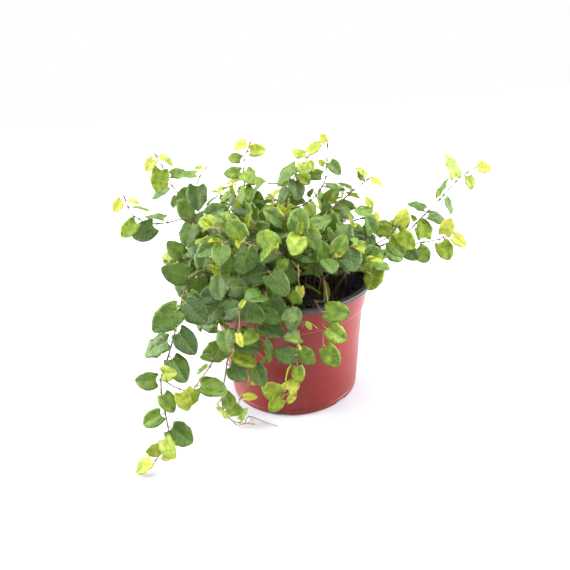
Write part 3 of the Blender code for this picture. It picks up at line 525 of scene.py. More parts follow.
@dataclass(frozen=True)
class LeafFinish(Finish):
    """Satin fig leaves: green when mature and lime when young, puckered, with pale veins and margins.

    It reads the marks tone, shade, margin and under, and the blade's plane in the pattern.
    """

    name = "fig_leaf"
    mature: Colour = colour(46, 77, 12)
    green: Colour = colour(87, 124, 20)
    fresh: Colour = colour(148, 174, 28)
    young: Colour = colour(220, 214, 84)
    cool: Colour = colour(34, 68, 40)
    vein: Colour = colour(160, 184, 66)
    under: Colour = colour(126, 152, 74)
    glow: Colour = colour(164, 182, 30)
    lateral_pitch: float = 0.155
    lateral_slant: float = 0.75
    cell_count: float = 19.0
    wander_size: float = 0.005
    cloud_size: float = 0.012
    blotch_size: float = 0.0036
    fleck_size: float = 0.0014
    relief_height: float = 0.0006
    roughness: float = 0.22
    specular: float = 0.44
    glow_share: float = 0.28

    def shader(self, sheet: NodeSheet) -> Socket:
        """Mixes a Principled and a Translucent shader by the leaf's age.

        Args:
            sheet: takes the nodes.

        Returns:
            The mixed shader.
        """
        tone, shade, under = sheet.mark("tone"), sheet.mark("shade"), sheet.mark("under")
        place = sheet.place()
        plane = sheet.add("ShaderNodeUVMap", {"uv_map": "pattern"}, {})
        panel, cells, veins = self.veins(sheet, place, plane)
        cloud = sheet.noise(place, self.cloud_size, 3.0)
        blotch = sheet.noise(place, self.blotch_size, 3.0, 0.6).above(0.34, 0.66)
        fleck = sheet.noise(place, self.fleck_size, 2.0)
        near_vein = 1 - panel.above(0.08, 0.46)
        age = tone + (cloud - 0.5) * 0.4 + (blotch - 0.5) * (0.26 + tone * 0.3) + near_vein * 0.06
        stops = [(0.0, self.mature), (0.3, self.green), (0.62, self.fresh), (1.0, self.young)]
        upper = sheet.ramp(age, stops)
        upper = sheet.mix((shade * 0.8 * (1 - tone)).clamped(), upper, self.cool)
        upper = sheet.mix((veins * (0.38 + 0.15 * tone)).clamped(), upper, self.vein)
        edge = sheet.mix(tone.clamped(), self.vein, self.young)
        edge_share = sheet.mark("margin").above(0.87, 1.0) * (0.25 + tone * 0.45)
        upper = sheet.mix(edge_share.clamped(), upper, edge)
        upper = sheet.mix(fleck.above(0.4, 0.75) * 0.25, upper, self.mature)
        lower = sheet.mix((veins * 0.35).clamped(), sheet.mix(tone, self.under, self.young), self.vein)
        base = sheet.mix(under, upper, lower)
        relief = panel * 0.35 + (1 - veins) * 0.3 + blotch * 0.5 + cells.above(0.0, 0.3) * 0.1
        normal = sheet.bump(relief * (1 - under * 2), self.relief_height, 0.8)
        roughness = self.roughness + blotch * 0.14 + under * 0.24
        gloss = sheet.principled(base, roughness, normal, self.specular)
        lit_through = sheet.add("ShaderNodeBsdfTranslucent", {}, {"Color": self.glow})
        share = (self.glow_share + tone * 0.16).clamped()
        return sheet.add("ShaderNodeMixShader", {}, {0: share, 1: gloss, 2: lit_through})

    def veins(self, sheet: NodeSheet, place: Socket, plane: Socket) -> tuple[Socket, Socket, Socket]:
        """Draws the veins in the blade's plane: a midrib, slanted laterals that wander, and a net of cells.

        Args:
            sheet: takes the nodes.
            place: the object coordinates.
            plane: the place in the blade's plane.

        Returns:
            How far each spot is from the middle between two laterals, from the net, and all the veins.
        """
        along = sheet.part(plane, "X")
        aside = abs(sheet.part(plane, "Y") - 0.5)
        midrib = 1 - (aside + along * 0.012).above(0.006, 0.028)
        wander = sheet.noise(place, self.wander_size, 1.0) - 0.5
        slanted = (along - aside * self.lateral_slant) * (1 / self.lateral_pitch) + wander * 1.1
        panel = abs(slanted.fraction() - 0.5)
        lateral = (1 - panel.above(0.0, 0.13)) * (1 - aside.above(0.26, 0.42))
        cells = sheet.add("ShaderNodeTexVoronoi", {"feature": "DISTANCE_TO_EDGE"},
                          {"Vector": plane, "Scale": self.cell_count})
        net = 1 - cells.above(0.0, 0.13)
        return panel, cells, (midrib + lateral * 0.45 + net * 0.25).clamped()


@dataclass(frozen=True)
class BarkFinish(Finish):
    """Thin stems: grey-brown and woody at the foot, reddish-brown above, pale green-pink when new.

    It reads the marks age, knot, stalk and rootlet.
    """

    name = "fig_bark"
    wood: Colour = colour(84, 66, 50)
    russet: Colour = colour(92, 64, 42)
    new: Colour = colour(150, 128, 74)
    petiole: Colour = colour(150, 152, 74)
    knot: Colour = colour(54, 34, 30)
    root: Colour = colour(168, 144, 108)
    grain_size: float = 0.0011
    cloud_size: float = 0.006
    relief_height: float = 0.00012

    def shader(self, sheet: NodeSheet) -> Socket:
        """Colours the stems by age, with dark knots at the leaf nodes.

        Args:
            sheet: takes the nodes.

        Returns:
            The shader.
        """
        place = sheet.place()
        grain = sheet.noise(place, self.grain_size, 3.0)
        age = sheet.mark("age") + (sheet.noise(place, self.cloud_size, 2.0) - 0.5) * 0.3
        base = sheet.ramp(age, [(0.0, self.wood), (0.45, self.russet), (1.0, self.new)])
        for mark, tint in (("stalk", self.petiole), ("knot", self.knot), ("rootlet", self.root)):
            base = sheet.mix(sheet.mark(mark), base, tint)
        base = sheet.mix(grain.above(0.45, 0.8) * 0.35, base, self.knot)
        return sheet.principled(base, 0.55 + grain * 0.2, sheet.bump(grain, self.relief_height, 0.6))


@dataclass(frozen=True)
class TerracottaFinish(Finish):
    """Moulded satin plastic in terracotta red, with a painted highlight along the band's lower edge, dusty and
    smeared.

    It reads object coordinates. `band_foot` is the height of the band's lower edge, in metres.
    """

    name = "terracotta_plastic"
    red: Colour = colour(119, 32, 26)
    deep: Colour = colour(100, 26, 23)
    # paler red of the smears, and of the painted highlight line along the band's lower edge
    smear_and_highlight: Colour = colour(166, 78, 66)
    dust: Colour = colour(196, 150, 130)
    band_foot: float = 0.066
    cloud_size: float = 0.03
    streak_size: float = 0.006
    grain_size: float = 0.0008
    speck_size: float = 0.0024
    rings_per_metre: float = 900.0
    relief_height: float = 0.00008
    specular: float = 0.3

    def shader(self, sheet: NodeSheet) -> Socket:
        """Adds faint mould rings, smears and a painted highlight line along the band's lower edge to the red.

        Args:
            sheet: takes the nodes.

        Returns:
            The shader.
        """
        place = sheet.place()
        height = sheet.part(place, "Z")
        cloud = sheet.noise(place, self.cloud_size, 3.0)
        upright = {0: place, 1: (1.0, 1.0, 0.12)}
        stretched = sheet.add("ShaderNodeVectorMath", {"operation": "MULTIPLY"}, upright)
        streak = sheet.noise(stretched, self.streak_size, 3.0)
        grain = sheet.noise(place, self.grain_size, 2.0)
        speck = sheet.noise(place, self.speck_size, 3.0, 0.6)
        base = sheet.mix(cloud.above(0.3, 0.75) * 0.6, self.red, self.deep)
        # painted highlight: a pale ring of colour along the band's lower edge
        edge = 1 - abs(height - self.band_foot).above(0.0002, 0.0011)
        base = sheet.mix(edge * 0.55, base, self.smear_and_highlight)
        base = sheet.mix(streak.above(0.55, 0.85) * 0.25, base, self.smear_and_highlight)
        base = sheet.mix(speck.above(0.68, 0.78) * 0.35, base, self.dust)
        rings = (height * self.rings_per_metre).fraction()
        relief = grain * 0.6 + abs(rings - 0.5) * 0.25 + streak * 0.3
        normal = sheet.bump(relief, self.relief_height, 0.35)
        return sheet.principled(base, 0.26 + cloud * 0.14, normal, self.specular)


@dataclass(frozen=True)
class LiningFinish(Finish):
    """Black plastic of the pot's lip and inside, dusty in places. It reads object coordinates."""

    name = "black_lining"
    black: Colour = colour(34, 33, 40)
    dusty: Colour = colour(86, 80, 84)
    dust_size: float = 0.004
    grain_size: float = 0.0009
    relief_height: float = 0.00008

    def shader(self, sheet: NodeSheet) -> Socket:
        """Dusts the black with noise.

        Args:
            sheet: takes the nodes.

        Returns:
            The shader.
        """
        place = sheet.place()
        dust = sheet.noise(place, self.dust_size, 4.0, 0.6)
        normal = sheet.bump(sheet.noise(place, self.grain_size, 2.0), self.relief_height, 0.4)
        base = sheet.mix(dust.above(0.5, 0.8) * 0.6, self.black, self.dusty)
        return sheet.principled(base, 0.32 + dust * 0.25, normal)


@dataclass(frozen=True)
class PeatFinish(Finish):
    """Damp black peat, with brown fibres and grey crumbs. It reads object coordinates and the mark chip."""

    name = "peat"
    black: Colour = colour(24, 19, 18)
    brown: Colour = colour(58, 42, 34)
    crumb: Colour = colour(92, 80, 72)
    lump_size: float = 0.003
    grain_size: float = 0.0007
    relief_height: float = 0.0012

    def shader(self, sheet: NodeSheet) -> Socket:
        """Colours the peat by noise, and the crumbs by their own mark.

        Args:
            sheet: takes the nodes.

        Returns:
            The shader.
        """
        place = sheet.place()
        lumps = sheet.noise(place, self.lump_size, 4.0, 0.65)
        grain = sheet.noise(place, self.grain_size, 3.0, 0.7)
        base = sheet.mix(lumps.above(0.45, 0.75) * 0.7, self.black, self.brown)
        base = sheet.mix(sheet.mark("chip"), base, self.crumb)
        normal = sheet.bump(lumps * 0.6 + grain * 0.4, self.relief_height, 0.8)
        return sheet.principled(base, 0.92 - grain * 0.2, normal)


@dataclass(frozen=True)
class FloorFinish(Finish):
    """A pale matt floor, darker round the pot: painted shade that tones down the lamps' bright pool there."""

    name = "white_sweep"
    # near: the floor's darker colour round the pot, painted shade against the lamps' bright pool
    near: Colour = (0.47, 0.475, 0.51, 1.0)
    far: Colour = (0.92, 0.92, 0.94, 1.0)

    def shader(self, sheet: NodeSheet) -> Socket:
        """Fades the painted shade from near to far between 0.15 and 0.9 m from the middle."""
        away = sheet.add("ShaderNodeVectorMath", {"operation": "LENGTH"}, {0: sheet.place()}, "Value")
        return sheet.principled(sheet.mix(away.above(0.15, 0.9), self.near, self.far), 0.6)


# Growth: the same rule and the same draws as in the solids

@dataclass(frozen=True)
class PotSizes:
    """Radii and heights of the pot and of the compost in it."""

    lip_radius: float = 60.0
    height: float = 85.0
    lip_drop: float = 2.4
    band_height: float = 19.0
    band_top_radius: float = 57.0
    band_foot_radius: float = 53.4
    wall_top_radius: float = 51.9
    wall_foot_radius: float = 45.3
    foot_radius: float = 44.3
    foot_chamfer: float = 1.8
    foot_width: float = 3.0
    pad_radius: float = 15.0
    base_lift: float = 1.6
    wall: float = 1.2
    slot_count: int = 6
    slot_turn: float = 15.0
    slot_width: float = 9.0
    slot_height: float = 2.6
    soil_top: float = 70.0
    soil_edge_drop: float = 1.2
    hole_depth: float = 5.0
    fit: float = 0.3

    @property
    def band_foot(self) -> float:
        """Gives the height of the band's lower edge."""
        return self.height - self.band_height


@dataclass(frozen=True)
class GrowthRule:
    """Sizes, clearances and draws that every stem and leaf keeps, as in the solids.

    The outline gives a blade's half width along it. The ways are shares: a face turns outwards, to the
    front and up, by the last share more on a rising stem than on a hanging one; a row's petiole goes aside,
    along the stem and to its face, its blade aside, along and up, and a side shoot along, aside, out and up.
    What begins with `more` is the change at each further try; `more_turns` are degrees of turn, lean and roll.
    A row's blade first tries `first_size` of its length, but never more than all of it.
    """

    upright: float = 3.0
    stem_foot_radius: float = 1.15
    stem_tip_radius: float = 0.65
    shoot_foot_radius: float = 0.85
    longest_segment: float = 13.0
    node_to_bend: float = 1.5
    crowding: float = 0.95
    stem_gap: float = 3.4
    sample: float = 2.0
    petiole_short: float = 1.6
    petiole_share: float = 0.10
    fold: float = 0.12
    arch: float = 0.15
    face_way: tuple[float, float, float, float] = (0.8, 0.25, 0.35, 0.75)
    hanging: float = 0.5
    hanging_to_rising: float = 0.9
    outline_at: Numbers = (0.0, 0.1, 0.3, 0.6, 0.85, 1.0)
    outline_width: Numbers = (0.15, 0.34, 0.43, 0.41, 0.26, 0.0)
    leaf_gap: float = 2.2
    own_gap: float = 1.4
    petiole_gap: float = 1.6
    pot_gap: float = 1.6
    floor_gap: float = 0.9
    tries: int = 16
    single_tries: int = 30
    filler_tries: int = 24
    seed: int = 11
    named_spread: float = 0.25
    filler_spread: float = 0.45
    more_spread: float = 0.04
    petiole_way: Triple = (0.8, 0.45, 0.35)
    blade_way: Triple = (0.75, 0.5, -0.3)
    blade_varies: float = 0.15
    stalk_varies: float = 0.3
    flip_every: int = 5
    first_size: float = 1.2
    more_shrink: float = 0.04
    held_off: float = 0.25
    more_off: float = 0.1
    more_stalk: float = 0.08
    more_turns: Triple = (3.0, 4.0, 5.0)
    edge_lean: float = 0.3
    picture_rise: float = 23.0
    golden_angle: float = 137.5
    filler_blade: float = 16.5
    filler_shrink: float = 4.0
    filler_varies: float = 0.18
    dome_slope: float = 12.0
    fork_way: tuple[float, float, float, float] = (0.5, 0.75, 0.25, 0.35)
    fork_length: float = 30.0
    fork_varies: float = 5.0
    fork_outward: float = 0.35
    fork_leaves: int = 6
    fork_first: float = 8.0
    more_aside: float = 0.05
    more_sunk: float = 0.08
    filler_turn: int = 5
    filler_collar: float = 84.0
    patch_x: Pair = (8.0, 58.0)
    patch_y: Pair = (-48.0, 30.0)
    sight_slope: float = 0.425
    crown_count: int = 5
    bush_count: int = 10
    rim_azimuths: Numbers = (22, 62, 100, 128, 152, 176, 198, 216, 234, 250)
    rim_ends: tuple[Pair, ...] = (
        (76, 84), (82, 74), (84, 66), (84, 58), (78, 70), (70, 66), (67, 72), (67, 76), (67, 82), (68, 86))


POT = PotSizes()
RULE = GrowthRule()
UP = np.array([0.0, 0.0, 1.0])


@dataclass(frozen=True)
class Shoot:
    """A main stem, or a side shoot that leaves its stem after `joins` millimetres.

    `row` holds the blade lengths of an alternate row of leaves, whose first and last nodes are `span`
    millimetres along the shoot, None for its tip. `look` is the azimuth and elevation, in degrees, that their
    upper faces turn to; None follows the crown. `leaves` holds single leaves: how far along, blade length,
    heading in the picture plane in degrees from +X upwards, how much the end leans forward, the roll, and the
    age, from 0 for a mature leaf to 1 for a new one.
    """

    stem: str
    via: Rows
    row: Numbers = ()
    span: tuple[float, Optional[float]] = (0.0, None)
    side: int = 1
    look: Optional[Pair] = None
    joins: Optional[float] = None
    leaves: Rows = ()


# The shoots that the photograph shows one by one
NAMED_SHOOTS = (
    Shoot("trailer_left",
          ((-33, -22), (-38, -26, 86), (-47, -34, 104), (-56, -46, 111), (-61, -58, 107), (-65, -67, 96),
           (-67, -72, 88), (-70, -76, 81), (-74, -81, 71), (-79, -84, 61), (-80, -86, 53), (-79, -87, 37),
           (-79, -87, 24), (-85, -88, 11), (-91, -92, 4)),
          (14, 16, 17, 17, 15), (44, 77), 1, (-100, 20), leaves=(
        (84, 17.5, -47, 10, 10, 0.0), (86, 10, 214, 0, 50, 0.35), (88, 18.5, 219, 0, 25, 0.05),
        (102, 16, -55, 10, 15, 0.0), (109, 16.5, 199, 0, 35, 0.08), (119, 16, -60, 0, 30, 0.05),
        (129, 12, 0, 40, 0, 0.6), (133, 13, 184, 0, 0, 0.3), (141, 12, -60, 15, 20, 0.25),
        (156, 13.3, 203, 0, 10, 0.25), (165, 15.5, -38, 0, 10, 0.15), (172, 14, -78, 30, 0, 0.6),
        (181, 9, 196, 20, 0, 0.6), (190, 11.5, 213, 0, 40, 0.8), (187, 6, -20, 0, 30, 0.9))),
    Shoot("trailer_left", ((-76, -87, 59), (-66, -90, 55)), joins=132, leaves=(
        (14, 11.5, -72, 0, 10, 0.7),)),
    Shoot("trailer_side",
          ((-24, -26), (-27, -31, 84), (-34, -42, 99), (-39, -54, 98), (-40, -64, 86), (-40, -72, 73),
           (-47, -76, 67), (-51, -80, 62), (-60, -86, 53)),
          (14, 16), (32, 46), -1, (-105, 20), leaves=(
        (53, 15, 205, 20, 0, 0.0), (61, 15, 215, 0, 10, 0.1), (66, 15, 15, 45, 10, 0.15),
        (76, 14, -85, 30, 20, 0.15), (97, 7, 160, 0, 40, 0.35), (101, 8, 205, 0, 70, 0.4),
        (116, 16, -12, 0, 50, 0.3), (115, 10.5, 240, 0, 10, 0.7))),
    Shoot("trailer_front_left",
          ((-14, -30), (-16, -37, 86), (-22, -50, 98), (-29, -60, 91), (-34, -66, 78), (-40, -68, 62),
           (-43, -66, 49), (-48, -60, 28), (-48, -55, 10), (-41, -53, 3), (-31, -55, 3)),
          (15, 16, 16), (34, 50), 1, (-95, 15), leaves=(
        (57, 15.5, -20, 10, 35, 0.15), (64, 14, 205, 20, 10, 0.1), (70, 12, -50, 20, 20, 0.35),
        (77, 15, -22, 10, 10, 0.15), (81, 15, 183, 20, 0, 0.22), (86, 15, -30, 0, 40, 0.62),
        (94, 13.5, -45, 0, 10, 0.12), (121, 11, -60, 0, 35, 0.35), (126, 14, -58, 5, 0, 0.65),
        (136, 11, -10, 10, 20, 0.55), (157, 9, 60, 0, 50, 0.4))),
    Shoot("trailer_middle",
          ((-8, -22), (-9, -32, 86), (-12, -46, 99), (-15, -58, 98), (-19, -66, 90), (-20, -67, 82),
           (-21, -66, 73), (-23, -64, 63), (-26, -62, 54), (-28, -61, 47), (-30, -60, 37)),
          (16, 17, 17), (30, 48), -1, (-95, 18), leaves=(
        (54, 19, -58, 10, 15, 0.1), (63, 15, 195, 10, 20, 0.15), (68, 12, -30, 20, 20, 0.15),
        (76, 15, -28, 0, 20, 0.1), (81, 11, 205, 20, 20, 0.4), (86, 14, -75, 20, 40, 0.2),
        (96, 11, -45, 15, 10, 0.2), (108, 13.4, -62, 0, 20, 0.08), (113, 8, 200, 0, 30, 0.5),
        (123, 9, 10, 0, 30, 0.8))),
    Shoot("trailer_front",
          ((-1, -28), (-1, -35, 86), (0, -48, 96), (1, -58, 93), (4, -64, 81), (3, -65, 76), (3, -64, 70),
           (3, -63, 63), (2, -61, 51), (1, -59, 38), (-1, -58, 28), (-5, -58, 24), (-9, -58, 24)),
          (16, 16), (34, 46), -1, (-92, 20), leaves=(
        (55, 13.5, -95, 30, 10, 0.05), (60, 12, 195, 20, 20, 0.1), (78, 12, 140, 0, 60, 0.2),
        (88, 13.5, 118, 0, 50, 0.25), (85, 12, -45, 0, 10, 0.4), (94, 8, 108, 0, 60, 0.8),
        (97, 10.5, -88, 0, 10, 0.55), (99, 11, -118, 0, 60, 0.85), (123, 11.5, 38, 20, 25, 0.98),
        (128, 7.5, 60, 0, 30, 0.95), (131, 13.5, 152, 0, 0, 0.6), (132, 11, -128, 0, 30, 0.62))),
    Shoot("trailer_front_right",
          ((15, -22), (15, -36, 80), (15.5, -50, 89), (17, -60, 90), (19.5, -64.5, 84), (20, -64.5, 76),
           (19.5, -62.5, 67), (18.5, -61, 60)), leaves=(
        (30, 13.5, 52, 20, 10, 0.6), (58, 14.5, -10, 0, 35, 0.42), (68, 13.5, -33, 0, 20, 0.45),
        (81, 14.5, -62, 0, 0, 0.45))),
    Shoot("spray_upper_left",
          ((-28, -2), (-38, -1, 100), (-49, 0, 126), (-58, 0, 140), (-68, 0, 149), (-72, 0, 158),
           (-75, 0, 168), (-79, 0, 177)),
          (14, 16, 16), (40, 58), 1, (-110, 30), leaves=(
        (66, 15, 197, 10, 10, 0.1), (73, 14, 20, 20, 10, 0.15), (80, 15, -100, 10, 10, 0.15),
        (91, 14, -70, 30, 10, 0.3), (96, 8, 240, 0, 30, 0.3), (103, 13.5, 207, 0, 45, 0.2),
        (110, 11, 5, 0, 30, 0.35), (116, 14.5, -103, 10, 0, 0.5), (124, 9.5, 228, 0, 20, 0.95),
        (125, 10.5, -30, 0, 60, 0.7))),
    Shoot("spray_upper_left", ((-54, -4, 156), (-50, -5, 162), (-46, -5, 167)), joins=82, leaves=(
        (11, 12, 200, 20, 10, 0.15), (19, 16, -93, 10, 10, 0.0), (23, 13.5, 175, 0, 40, 0.2),
        (30, 5.5, 175, 0, 40, 0.8))),
    Shoot("spray_far_left",
          ((-33, -8), (-42, -9, 100), (-50, -12, 126), (-62, -13, 136), (-76, -14, 134), (-88, -15, 135),
           (-96, -16, 141), (-99, -17, 155)),
          (15, 16, 16, 15), (40, 68), -1, (-100, 35), leaves=(
        (76, 15, -110, 20, 20, 0.1), (95, 14.5, 163, 0, 55, 0.25), (100, 16, 205, 5, 10, 0.08),
        (113, 13.3, 222, 0, 15, 0.5), (124, 11.5, -12, 0, 80, 0.45), (129, 7, -15, 0, 50, 0.8),
        (131, 9, 228, 0, 15, 0.95))),
    Shoot("shoot_top",
          ((-14, 10), (-20, 9, 100), (-23, 7, 127), (-24, 7, 142), (-24, 8, 156), (-23, 10, 166),
           (-17, 10, 178)),
          (14, 15, 15, 15), (44, 68), 1, (-95, 30), leaves=(
        (78, 14, 228, 10, 20, 0.15), (80, 12, -20, 30, 20, 0.15), (86, 13, -75, 40, 0, 0.3),
        (88, 12, 8, 0, 45, 0.5), (91, 9.5, 190, 0, 60, 0.9), (95, 11, 178, 0, 15, 0.45),
        (97, 12.5, -60, 40, 0, 0.35), (104, 9, 165, 0, 20, 0.5), (109, 10.5, 5, 0, 10, 0.75),
        (116, 9.5, 190, 0, 30, 0.95))),
    Shoot("shoot_middle",
          ((2, 8), (-2, 9, 100), (1, 10, 122), (2, 11, 133), (5, 12, 140), (10, 14, 153), (14, 14, 158),
           (21, 15, 165)),
          (15, 15), (46, 54), -1, (-90, 30), leaves=(
        (72, 10, -10, 0, 40, 0.15), (78, 9, 5, 0, 70, 0.5), (84, 13.3, 232, 0, 50, 0.2),
        (88, 14.5, -100, 10, 0, 0.05), (94, 10.5, -65, 0, 10, 0.7), (99, 17.5, 213, 0, 45, 0.25),
        (100, 10.5, 95, 0, 10, 0.6), (101, 10.5, -62, 0, 25, 0.6), (105, 7.5, -65, 0, 30, 0.8),
        (106, 11, 45, 0, 35, 0.6))),
    Shoot("shoot_middle",
          ((10, 10, 131), (18, 10, 133), (26, 10, 140), (30, 10, 146), (32, 10, 156), (32, 10, 168),
           (33, 10, 173)), joins=66, leaves=(
        (19, 6.5, 60, 0, 20, 0.2), (32, 13.3, -8, 0, 55, 0.15), (39, 11, 175, 0, 20, 0.2),
        (46, 5, 130, 0, 20, 0.8), (51, 11, -50, 0, 10, 0.25), (60, 6, -35, 0, 75, 0.5),
        (61, 6.5, 110, 0, 20, 0.95))),
    Shoot("shoot_right",
          ((18, 4), (23, 0, 100), (27, 0, 123), (35, 0, 132), (40, 0, 136), (51, 0, 145), (59, 0, 150)),
          (14, 15), (46, 56), 1, (-80, 45), leaves=(
        (66, 8, 100, 20, 10, 0.2), (68, 8.5, -50, 0, 60, 0.3), (71, 10, -12, 0, 60, 0.2),
        (85, 10, 178, 0, 50, 0.2), (90, 10, 150, 0, 60, 0.3), (96, 7.5, 100, 0, 40, 0.35),
        (100, 8.5, 140, 0, 45, 0.7), (101, 8, -20, 0, 30, 0.95))),
    Shoot("arch_right",
          ((34, 2), (42, 2, 84), (54, 1, 97), (68, 0, 103), (80, 0, 108), (88, 0, 114), (95, 0, 122),
           (104, 0, 130), (111, 0, 138), (118, 0, 145), (122, 0, 151), (129, 0, 152)),
          (15, 15), (44, 54), 1, (-85, 28), leaves=(
        (80, 5, -60, 0, 20, 0.6), (82, 5, 110, 0, 20, 0.6), (90, 15, -22, 0, 40, 0.15),
        (93, 12, 150, 0, 45, 0.2), (104, 14, 62, 0, 75, 0.35), (108, 11.5, -68, 0, 45, 0.2),
        (120, 17, 102, 0, 40, 0.62), (129, 9.5, -75, 0, 20, 0.6),
        (135, 9.5, 0, 0, 10, 0.95))),
    Shoot("arch_right",
          ((76, -6, 104), (87, -8, 105), (97, -8, 106), (104, -9, 107), (112, -9, 110)), joins=62, leaves=(
        (8, 12, -42, 0, 20, 0.15), (17, 13.5, -40, 0, 5, 0.3), (23, 13.3, 78, 10, 0, 0.45),
        (33, 13.3, -63, 0, 5, 0.5), (37, 11.5, 72, 0, 15, 0.9), (42, 11, -35, 0, 15, 0.95))),
    Shoot("cluster_right",
          ((30, -12), (36, -14, 84), (44, -16, 97), (52, -16, 106), (60, -16, 110), (68, -16, 113),
           (74, -16, 121)),
          (15,), (28, 30), 1, (-75, 38), leaves=(
        (40, 17, 60, 20, 0, 0.08), (50, 17, -33, 10, 0, 0.08), (66, 13.5, -50, 0, 5, 0.35),
        (71, 10.5, 160, 0, 0, 0.4), (72, 13.3, 35, -20, 10, 0.05), (74, 14.5, -36, 0, 0, 0.6),
        (76, 11.5, 83, 0, 25, 0.95))),
    Shoot("cluster_right", ((54, -16, 118), (58, -16, 128), (58, -16, 135)), joins=50, leaves=(
        (5, 11, 170, 0, 30, 0.1), (8, 11, -5, 10, 0, 0.4), (10, 15, 135, 40, 0, 0.15),
        (14, 12, 160, 0, 30, 0.1), (21, 12, 160, 20, 0, 0.35), (27, 6.5, -60, 0, 40, 0.9),
        (28, 7, 120, 0, 30, 0.95))),
    Shoot("cluster_right", ((57, -24, 100), (60, -34, 93)), joins=36, leaves=(
        (21, 14.5, 228, 0, 20, 0.6),)),
    Shoot("apron_left",
          ((-19, -20), (-22, -26, 84), (-28, -37, 97), (-34, -46, 105), (-40, -54, 112)),
          (16, 17, 18, 17, 16, 15), (20, None), -1, (-105, 42)),
    Shoot("apron_middle",
          ((-6, -16), (-7, -21, 84), (-9, -33, 97), (-10, -45, 106), (-11, -56, 112)),
          (16, 17, 17), (20, 46), 1, (-92, 42), leaves=(
        (60, 17.5, 185, 0, 20, 0.15), (65, 17, -55, 25, 0, 0.15))),
    Shoot("apron_front",
          ((8, -15), (9, -24, 82), (9, -36, 88), (8, -45, 94), (6.5, -52, 103), (7, -56, 113)),
          (14,), (14, 16), -1, (-88, 38), leaves=(
        (34, 13.4, -80, 20, 30, 0.05), (38, 11, -50, 0, 60, 0.1), (54, 9, -97, 0, 40, 0.85),
        (60, 8.5, 115, 0, 50, 0.8))),
)

# New shoots and bare tendrils too thin for the solids: each leaves its stem nearest to its own first point
RUNNERS = (
    Shoot("trailer_front", ((5.5, -66, 81.5), (8.8, -66.5, 82.4), (12.3, -66.5, 81), (14.6, -65.5, 77.6)),
          leaves=((7, 5.0, -50, 0, 30, 0.6),)),
    Shoot("trailer_front_left", ((-29, -74, 96), (-29.4, -77, 95), (-30, -77.5, 87.5), (-31.5, -77, 79)),
          leaves=((14, 5.5, 60, 0, 40, 0.9), (29, 8.0, -84, 10, 45, 1.0))),
    Shoot("trailer_middle", ((-30, -60, 37), (-34, -60.5, 32), (-37.5, -60, 23.5)),
          leaves=((14, 9.0, 3, 10, 60, 1.2),)),
    Shoot("trailer_front", ((-0.5, -58.4, 29), (0.5, -60.5, 28.5), (0, -61.5, 26.5)),
          leaves=((4, 6.5, 222, 0, 30, 1.1),)),
    Shoot("shoot_right",
          ((38, -2, 132), (42.2, -2, 134.6), (46.2, -2, 135.5), (49.8, -2, 133.2), (49.4, -2, 129.1)),
          leaves=((20, 3.5, -80, 0, 40, 0.8),)),
    Shoot("trailer_front_left", ((-44, -54, 4), (-41.2, -53.5, 1), (-36.5, -51.8, 1), (-31.8, -50.1, 1),
                                 (-31.2, -46.7, 1.2), (-33.4, -42.9, 1))),
    Shoot("trailer_front_left", ((-35, -50, 3.5), (-33.4, -43.5, 1.6), (-28.5, -45.9, 1), (-22.3, -51.3, 1),
                                 (-15.6, -55.5, 1))),
)


def planted(via: Sequence[Numbers]) -> Rows:
    """Puts a stem's foot in its hole: the first point gives X and Y, and the stem leaves the compost upright.

    Args:
        via: the route's points, the first without a height.

    Returns:
        The route, its first point made three: the foot, one hole's depth above it, and above the peat.
    """
    x, y = via[0]
    foot = POT.soil_top - POT.soil_edge_drop - POT.hole_depth + 2 * POT.fit
    return ((x, y, foot), (x, y, foot + POT.hole_depth), (x, y, POT.soil_top + RULE.upright)) + tuple(via[1:])


class Crowd:
    """Sample points of what has grown so far, each with the number of the stem that it belongs to."""

    def __init__(self) -> None:
        """Starts empty."""
        self.points = np.zeros((0, 3))
        self.owners = np.zeros(0, int)

    def add(self, points: Array, owner: int) -> None:
        """Adds points of one owner."""
        self.points = np.vstack([self.points, points])
        self.owners = np.concatenate([self.owners, np.full(len(points), owner)])

    def is_clear(self, points: Array, gap: float, owner: Optional[int] = None) -> bool:
        """Tests that every point is `gap` or more from those of the others.

        Args:
            points: the points to place.
            gap: the least distance.
            owner: the owner whose points don't count.

        Returns:
            True where all are clear.
        """
        near = ((self.points > points.min(0) - gap) & (self.points < points.max(0) + gap)).all(axis=1)
        if owner is not None:
            near &= self.owners != owner
        others = self.points[near]
        if not len(others):
            return True
        return bool(((points[:, None] - others[None]) ** 2).sum(axis=-1).min() >= gap * gap)


def clear_of_pot(points: Array, gap: float) -> bool:
    """Tests that every point is outside the pot's wall and lip, above the compost and above the floor.

    Args:
        points: the points to place.
        gap: the least distance to the pot.

    Returns:
        True where all are clear.
    """
    radius = np.hypot(points[:, 0], points[:, 1])
    height = points[:, 2]
    taper = (POT.wall_top_radius - POT.wall_foot_radius) * height / POT.band_foot
    wall = np.where(height > POT.band_foot, POT.band_top_radius + POT.wall, POT.wall_foot_radius + taper)
    past_lip = (radius > POT.lip_radius + gap) | (height < POT.height - POT.lip_drop - gap)
    above = height > POT.height + gap
    beside = (radius > wall + gap) & past_lip
    within = (radius < POT.wall_top_radius - POT.wall - gap) & (height > POT.soil_top + gap)
    return bool(((above | beside | within) & (height > RULE.floor_gap)).all())


@dataclass
class Stem:
    """A grown shoot: its spine's points, their directions and radii, and its leaf nodes along the spine."""

    shoot: Shoot
    owner: int
    spine: Array
    along: Array
    radii: Array
    nodes: Array
    node_at: Array
    node_along: Array

    def samples(self) -> Array:
        """Gives points evenly along the spine."""
        reach = lengths_along(self.spine)
        return read_at(self.spine, np.linspace(0, reach[-1], max(2, int(reach[-1] / RULE.sample))))

    def place_of(self, distance: float) -> int:
        """Gives the number of the spine's point nearest to a distance along it."""
        return int(np.argmin(abs(lengths_along(self.spine) - distance)))


